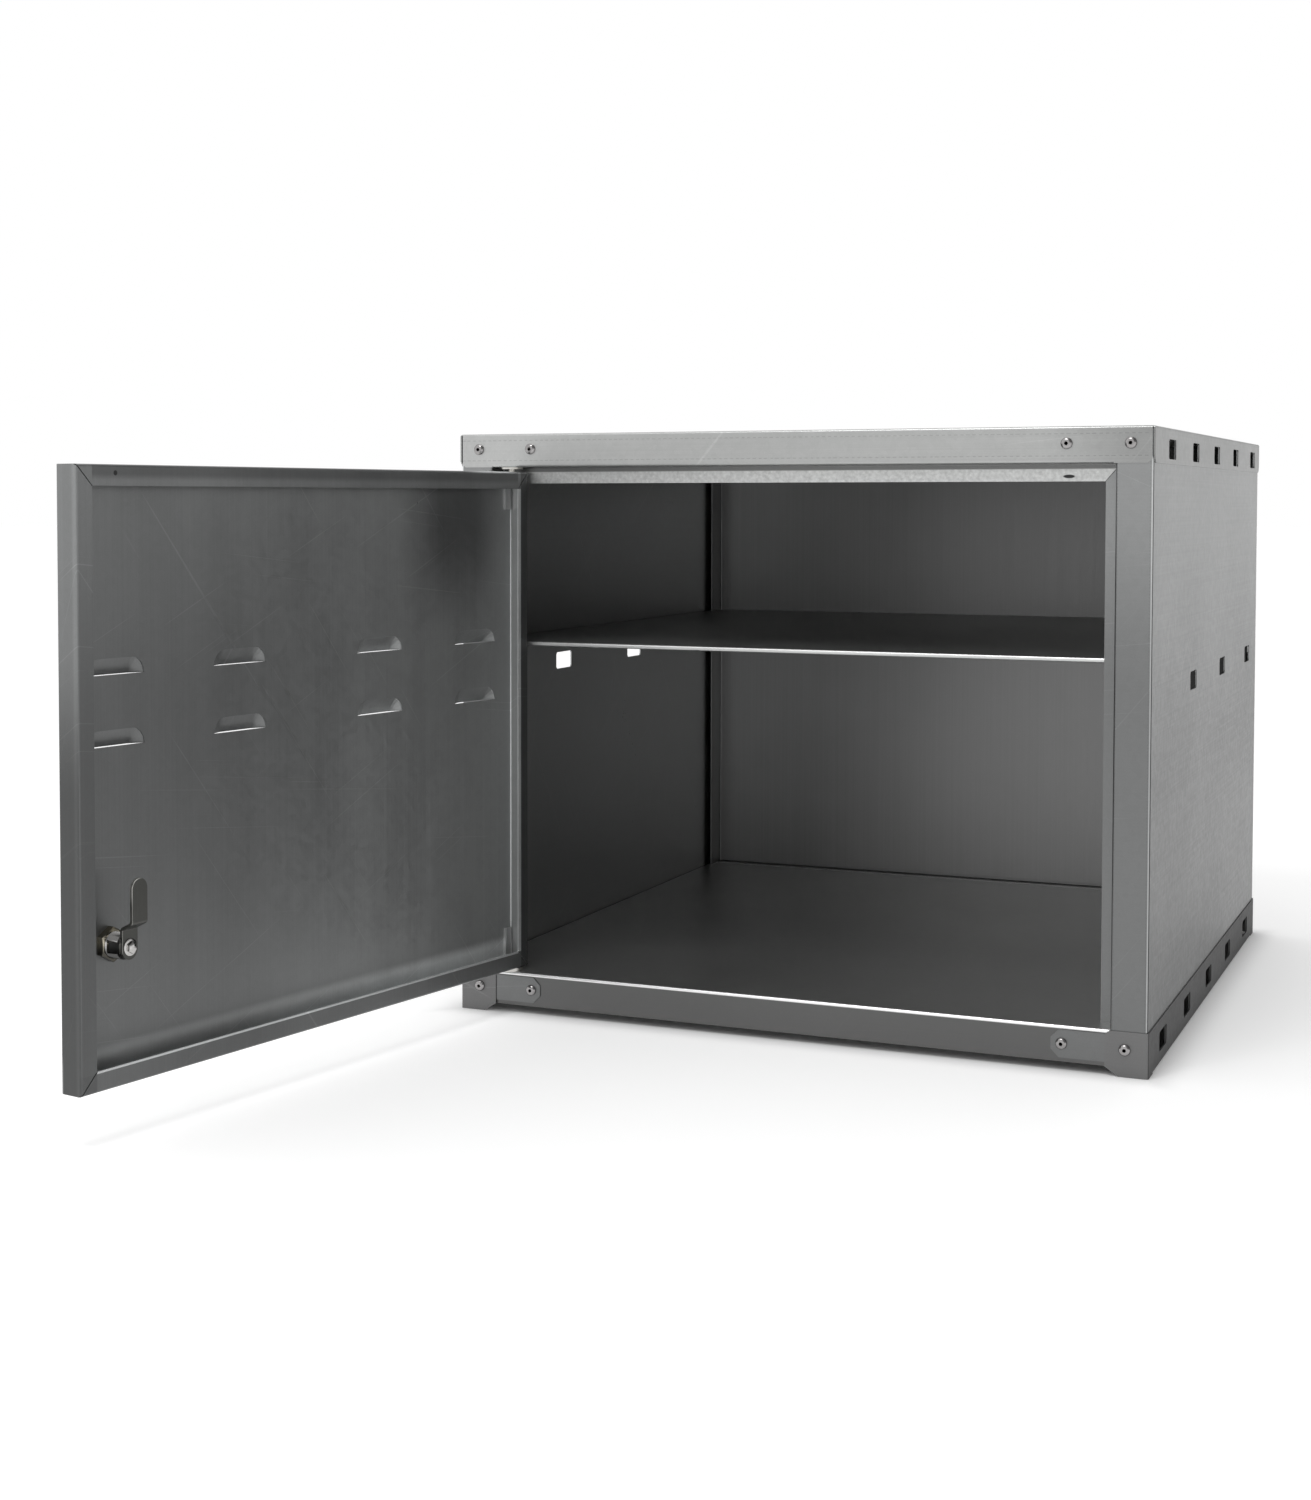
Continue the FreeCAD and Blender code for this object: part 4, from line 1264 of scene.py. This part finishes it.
@dataclass
class Door:
    """Louvred door with its pivot brackets and pins.

    Its finish is laid out on the shut door, as if seen from inside: the hinge edge is on the left.
    """

    depth: float = 20.0 * MM
    sheet: float = 1.0 * MM
    lip: float = 15.0 * MM
    bend: float = 2.0 * MM
    skin_face: Reach = Reach(2.4 * MM)
    skin_inside: Span = Span(0.5 * MM, 2.4 * MM, 0.4 * MM)
    hinge_light: Reach = Reach(300.0 * MM, 300.0 * MM)
    foot_light_across: Reach = Reach(250.0 * MM, 200.0 * MM)
    foot_light_height: Reach = Reach(360.0 * MM, 200.0 * MM)
    shade_patch_across: Span = Span(30.0 * MM, 120.0 * MM, 50.0 * MM)
    shade_patch_height: Reach = Reach(380.0 * MM, 100.0 * MM)
    foot_glow: Reach = Reach(8.0 * MM, 10.0 * MM)
    bottom_bend: Reach = Reach(2.0 * MM)
    lip_under: Span = Span(-1.3 * MM, -0.7 * MM, 0.2 * MM)
    hinge_bend: Reach = Reach(1.3 * MM, 0.4 * MM)
    top_fold_across: Reach = Reach(75.0 * MM, 40.0 * MM)
    top_fold_drop: Reach = Reach(-1.6 * MM, 0.6 * MM)
    free_face: Reach = Reach(-0.8 * MM, 0.3 * MM)
    free_shade: Reach = Reach(300.0 * MM, 120.0 * MM)
    free_rear: Reach = Reach(-4.0 * MM, 4.0 * MM)
    lip_face: Reach = Reach(-1.4 * MM, 0.4 * MM)
    lip_fade: float = 200.0 * MM
    lip_border: float = 0.6 * MM
    cut_edge: float = 1.5 * MM
    cut_border: float = 0.4 * MM
    rolled_edge: float = 4.0 * MM
    rolled_border: float = 0.8 * MM
    top_lip_inset: float = 6.0 * MM
    free_lip_height: Reach = Reach(350.0 * MM, 200.0 * MM)

    def __post_init__(self) -> None:
        """Read the edges of the shut door from its solid."""
        low, high = shut_box("door_panel")
        self.left, self.right = low.x, high.x
        self.bottom, self.top = low.z, high.z
        self.rear = high.y
        self.front = self.rear - self.depth

    def skin_bands(self) -> tuple[PaintedShadingBand, ...]:
        """Painted light and shade on the skin.

        Returns:
            The bands.
        """
        skin = Span.under(self.front, self.skin_face)
        inside = self.skin_inside.moved(self.front)
        shade_patch = self.shade_patch_across.moved(self.left)
        return (
            PaintedShadingBand(1.5, x=Span.under(self.left, self.hinge_light), y=skin),
            PaintedShadingBand(1.35, x=Span.under(self.left, self.foot_light_across), y=skin,
                     z=Span.under(0.0, self.foot_light_height)),
            PaintedShadingBand(0.5, x=shade_patch, y=inside, z=Span.over(0.0, self.shade_patch_height)),
            PaintedShadingBand(2.4, y=inside, z=Span.under(self.bottom + self.lip, self.foot_glow)),
        )

    def flange_bands(self) -> tuple[PaintedShadingBand, ...]:
        """Painted highlights on the bottom and hinge flanges and the top fold, and painted shade that darkens
        the free flange downwards, with a lighter rear edge.

        Returns:
            The bands.
        """
        within = Span(self.left + self.bend, self.right - self.bend)
        hollow = Span(self.front + self.sheet, self.rear - self.bend)
        under_lip = self.lip_under.moved(self.rear)
        free = Span.over(self.right, self.free_face)
        return (
            PaintedShadingBand(3.0, x=within, y=hollow, z=Span.under(self.bottom, self.bottom_bend)),
            PaintedShadingBand(3.0, x=within, y=under_lip, z=Span(self.bottom, self.bottom + self.lip)),
            PaintedShadingBand(2.2, x=Span.under(self.left, self.hinge_bend), y=hollow),
            PaintedShadingBand(3.6, x=Span.under(self.left, self.top_fold_across),
                     z=Span.over(self.top, self.top_fold_drop)),
            PaintedShadingBand(0.45, x=free, z=Span.under(0.0, self.free_shade)),
            PaintedShadingBand(1.25, x=free, y=Span.over(self.rear, self.free_rear)),
        )

    def lip_bands(self) -> tuple[PaintedShadingBand, ...]:
        """Painted shade on the lips and painted highlights on the edges of their opening.

        Returns:
            The bands.
        """
        lips = Span.over(self.rear, self.lip_face)
        left = self.left + self.lip
        right = self.right - self.lip
        low = self.bottom + self.lip
        high = self.top - self.lip
        opening = Span(left, right)
        return (
            PaintedShadingBand(0.75, x=Span(0.0, right, self.lip_fade), y=lips,
                     z=Span(self.bottom, low - self.cut_edge, self.lip_border)),
            PaintedShadingBand(3.4, x=opening, y=lips, z=Span(low - self.cut_edge, low + self.sheet, self.cut_border)),
            PaintedShadingBand(0.5, x=Span.under(left, Reach(-self.rolled_edge, self.lip_border)), y=lips),
            PaintedShadingBand(3.4, x=Span(left - self.rolled_edge, left + self.sheet, self.rolled_border), y=lips,
                     z=Span(low, high)),
            PaintedShadingBand(0.6, x=opening, y=lips, z=Span(high + self.top_lip_inset, self.top, self.top_lip_inset)),
            PaintedShadingBand(0.72, x=Span(right, self.right - self.sheet), y=lips,
                     z=Span.under(0.0, self.free_lip_height)),
        )

    def build(self) -> None:
        """Dress the door."""
        bands = self.skin_bands() + self.flange_bands() + self.lip_bands()
        hole = PiercedDot((BUFFER_ACROSS, self.rear, BUFFER_LEVEL))
        # painted shade darkens the door towards the bottom, and its bands paint light and shade
        door_zinc = GalvanisedSheet("door_zinc", tone=(0.24, 0.245, 0.245), rolled=Axis.UPRIGHT,
                                    roughness=0.42, clouding=0.22, drift=(2.5, 2.5, 0.7), scratching=0.18,
                                    low_painted_shade=0.25, oxide=0.35, bands=bands, dots=(hole,),
                                    hung_on=door_hanging()).build()
        dress("door_panel", door_zinc)
        plate = ZincHardware("pivot_zinc", roughness=0.3).build()
        # a pale tone that paints light onto the brackets, which stand in shade
        bracket_zinc = GalvanisedSheet("pivot_bracket_painted_light_zinc", tone=(0.6, 0.6, 0.6),
                                       rolled=Axis.UPRIGHT).build()
        for end in ("top", "bottom"):
            dress(f"hinge_bracket_{end}", bracket_zinc)
            dress(f"hinge_pin_{end}", plate)
            dress(f"hinge_bush_{end}", plate)


# Studio

@dataclass
class Studio:
    """Floor, lamp, sky and camera."""

    camera_place: tuple[float, float, float] = (0.5834, -2.0691, 0.4510)
    camera_turn: tuple[float, float, float] = (87.629, 0.0, 24.304)
    focal_pixels: float = 2208.3
    axis_pixels: tuple[float, float] = (559.4, 593.0)
    photo_pixels: tuple[float, float] = (1311.0, 1500.0)
    sensor: float = 36.0
    floor_reach: float = 40.0
    floor_drop: float = 0.2 * MM
    floor_white: float = 0.8
    floor_glow: float = 0.42
    shade_half: tuple[float, float] = (300.0 * MM, 325.0 * MM)
    shade_border: tuple[float, float] = (-20.0 * MM, 30.0 * MM)
    sky_dim_level: float = 0.22
    sky_dim_reach: tuple[float, float] = (0.05, 0.45)
    sky_dim_heights: tuple[float, float] = (0.08, 0.25)
    key_place: tuple[float, float, float] = (-0.2, -1.7, 2.6)
    key_aim: tuple[float, float, float] = (0.0, -0.2, 0.2)
    key_side: float = 0.9
    key_watts: float = 20.0

    def camera(self) -> None:
        """Set the camera where the photograph was taken."""
        wide, tall = self.photo_pixels
        data = bpy.data.cameras.new("camera")
        data.sensor_width = self.sensor
        data.lens = self.focal_pixels * self.sensor / tall
        data.shift_x = (wide / 2 - self.axis_pixels[0]) / tall
        data.shift_y = (self.axis_pixels[1] - tall / 2) / tall
        camera = new_object("camera", data)
        camera.location = self.camera_place
        camera.rotation_euler = Euler([math.radians(turn) for turn in self.camera_turn])
        bpy.context.scene.camera = camera

    def seen(self, tree: ShaderTree) -> Signal:
        """One for rays that show the background, in the picture or in metal.

        Args:
            tree: tree to build in.

        Returns:
            The mask.
        """
        rays = [tree.node("ShaderNodeLightPath", output=name)
                for name in ("Is Camera Ray", "Is Glossy Ray", "Is Transmission Ray")]
        return rays[0].at_least(rays[1]).at_least(rays[2])

    def floor(self) -> None:
        """Lay a pale floor that keeps the object's shadow, with its glow left out under the body as painted
        shade.
        """
        mesh = bmesh.new()
        bmesh.ops.create_circle(mesh, cap_ends=True, segments=96, radius=self.floor_reach)
        floor = new_object("floor", mesh_data("floor", mesh))
        floor.location.z = -self.floor_drop
        material = bpy.data.materials.new("floor_white")
        tree = ShaderTree(material)
        white = (self.floor_white, self.floor_white, self.floor_white, 1.0)
        plain = tree.node("ShaderNodeBsdfDiffuse", None, {"Color": white})
        inner, outer = self.shade_border
        beside, before = (abs(part).rise(half + inner, half + outer)
                          for part, half in zip(tree.parts(tree.place()), self.shade_half))
        # painted shade: no glow under the body's footprint
        strength = self.seen(tree) * self.floor_glow * beside.at_least(before)
        glow = tree.node("ShaderNodeEmission", None, {"Color": tree.toned(WHITE, strength)})
        tree.finish("ShaderNodeOutputMaterial", tree.node("ShaderNodeAddShader", None, {0: plain, 1: glow}))
        floor.data.materials.append(material)

    def sky(self) -> None:
        """Light the scene from all round, with less light from the right above the horizon."""
        world = bpy.data.worlds.new("sky")
        bpy.context.scene.world = world
        tree = ShaderTree(world)
        heading = tree.node("ShaderNodeTexCoord", output="Generated")
        rightward, _, upward = tree.parts(heading)
        shade = rightward.rise(*self.sky_dim_reach) * upward.rise(*self.sky_dim_heights)
        strength = 1.0 - shade * (1.0 - self.sky_dim_level)
        sockets = {"Color": tree.toned(WHITE, strength)}
        tree.finish("ShaderNodeOutputWorld", tree.node("ShaderNodeBackground", None, sockets))

    def key_lamp(self) -> None:
        """Add the square soft lamp in front."""
        data = bpy.data.lights.new("key_lamp", "AREA")
        data.size = self.key_side
        data.energy = self.key_watts
        lamp = new_object("key_lamp", data)
        lamp.location = self.key_place
        heading = Vector(self.key_aim) - Vector(self.key_place)
        lamp.rotation_euler = heading.to_track_quat("-Z", "Y").to_euler()

    def build(self) -> None:
        """Set up the whole studio."""
        self.camera()
        self.floor()
        self.sky()
        self.key_lamp()
        bpy.context.scene.view_settings.view_transform = "Standard"


def main() -> None:
    """Build and dress every piece in order."""
    logging.basicConfig(level=logging.INFO, format="%(name)s: %(message)s")
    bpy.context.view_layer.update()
    Carcass().build()
    ButtonScrews().build()
    Door().build()
    CamLock().build()
    Studio().build()


if __name__ == "__main__":
    main()
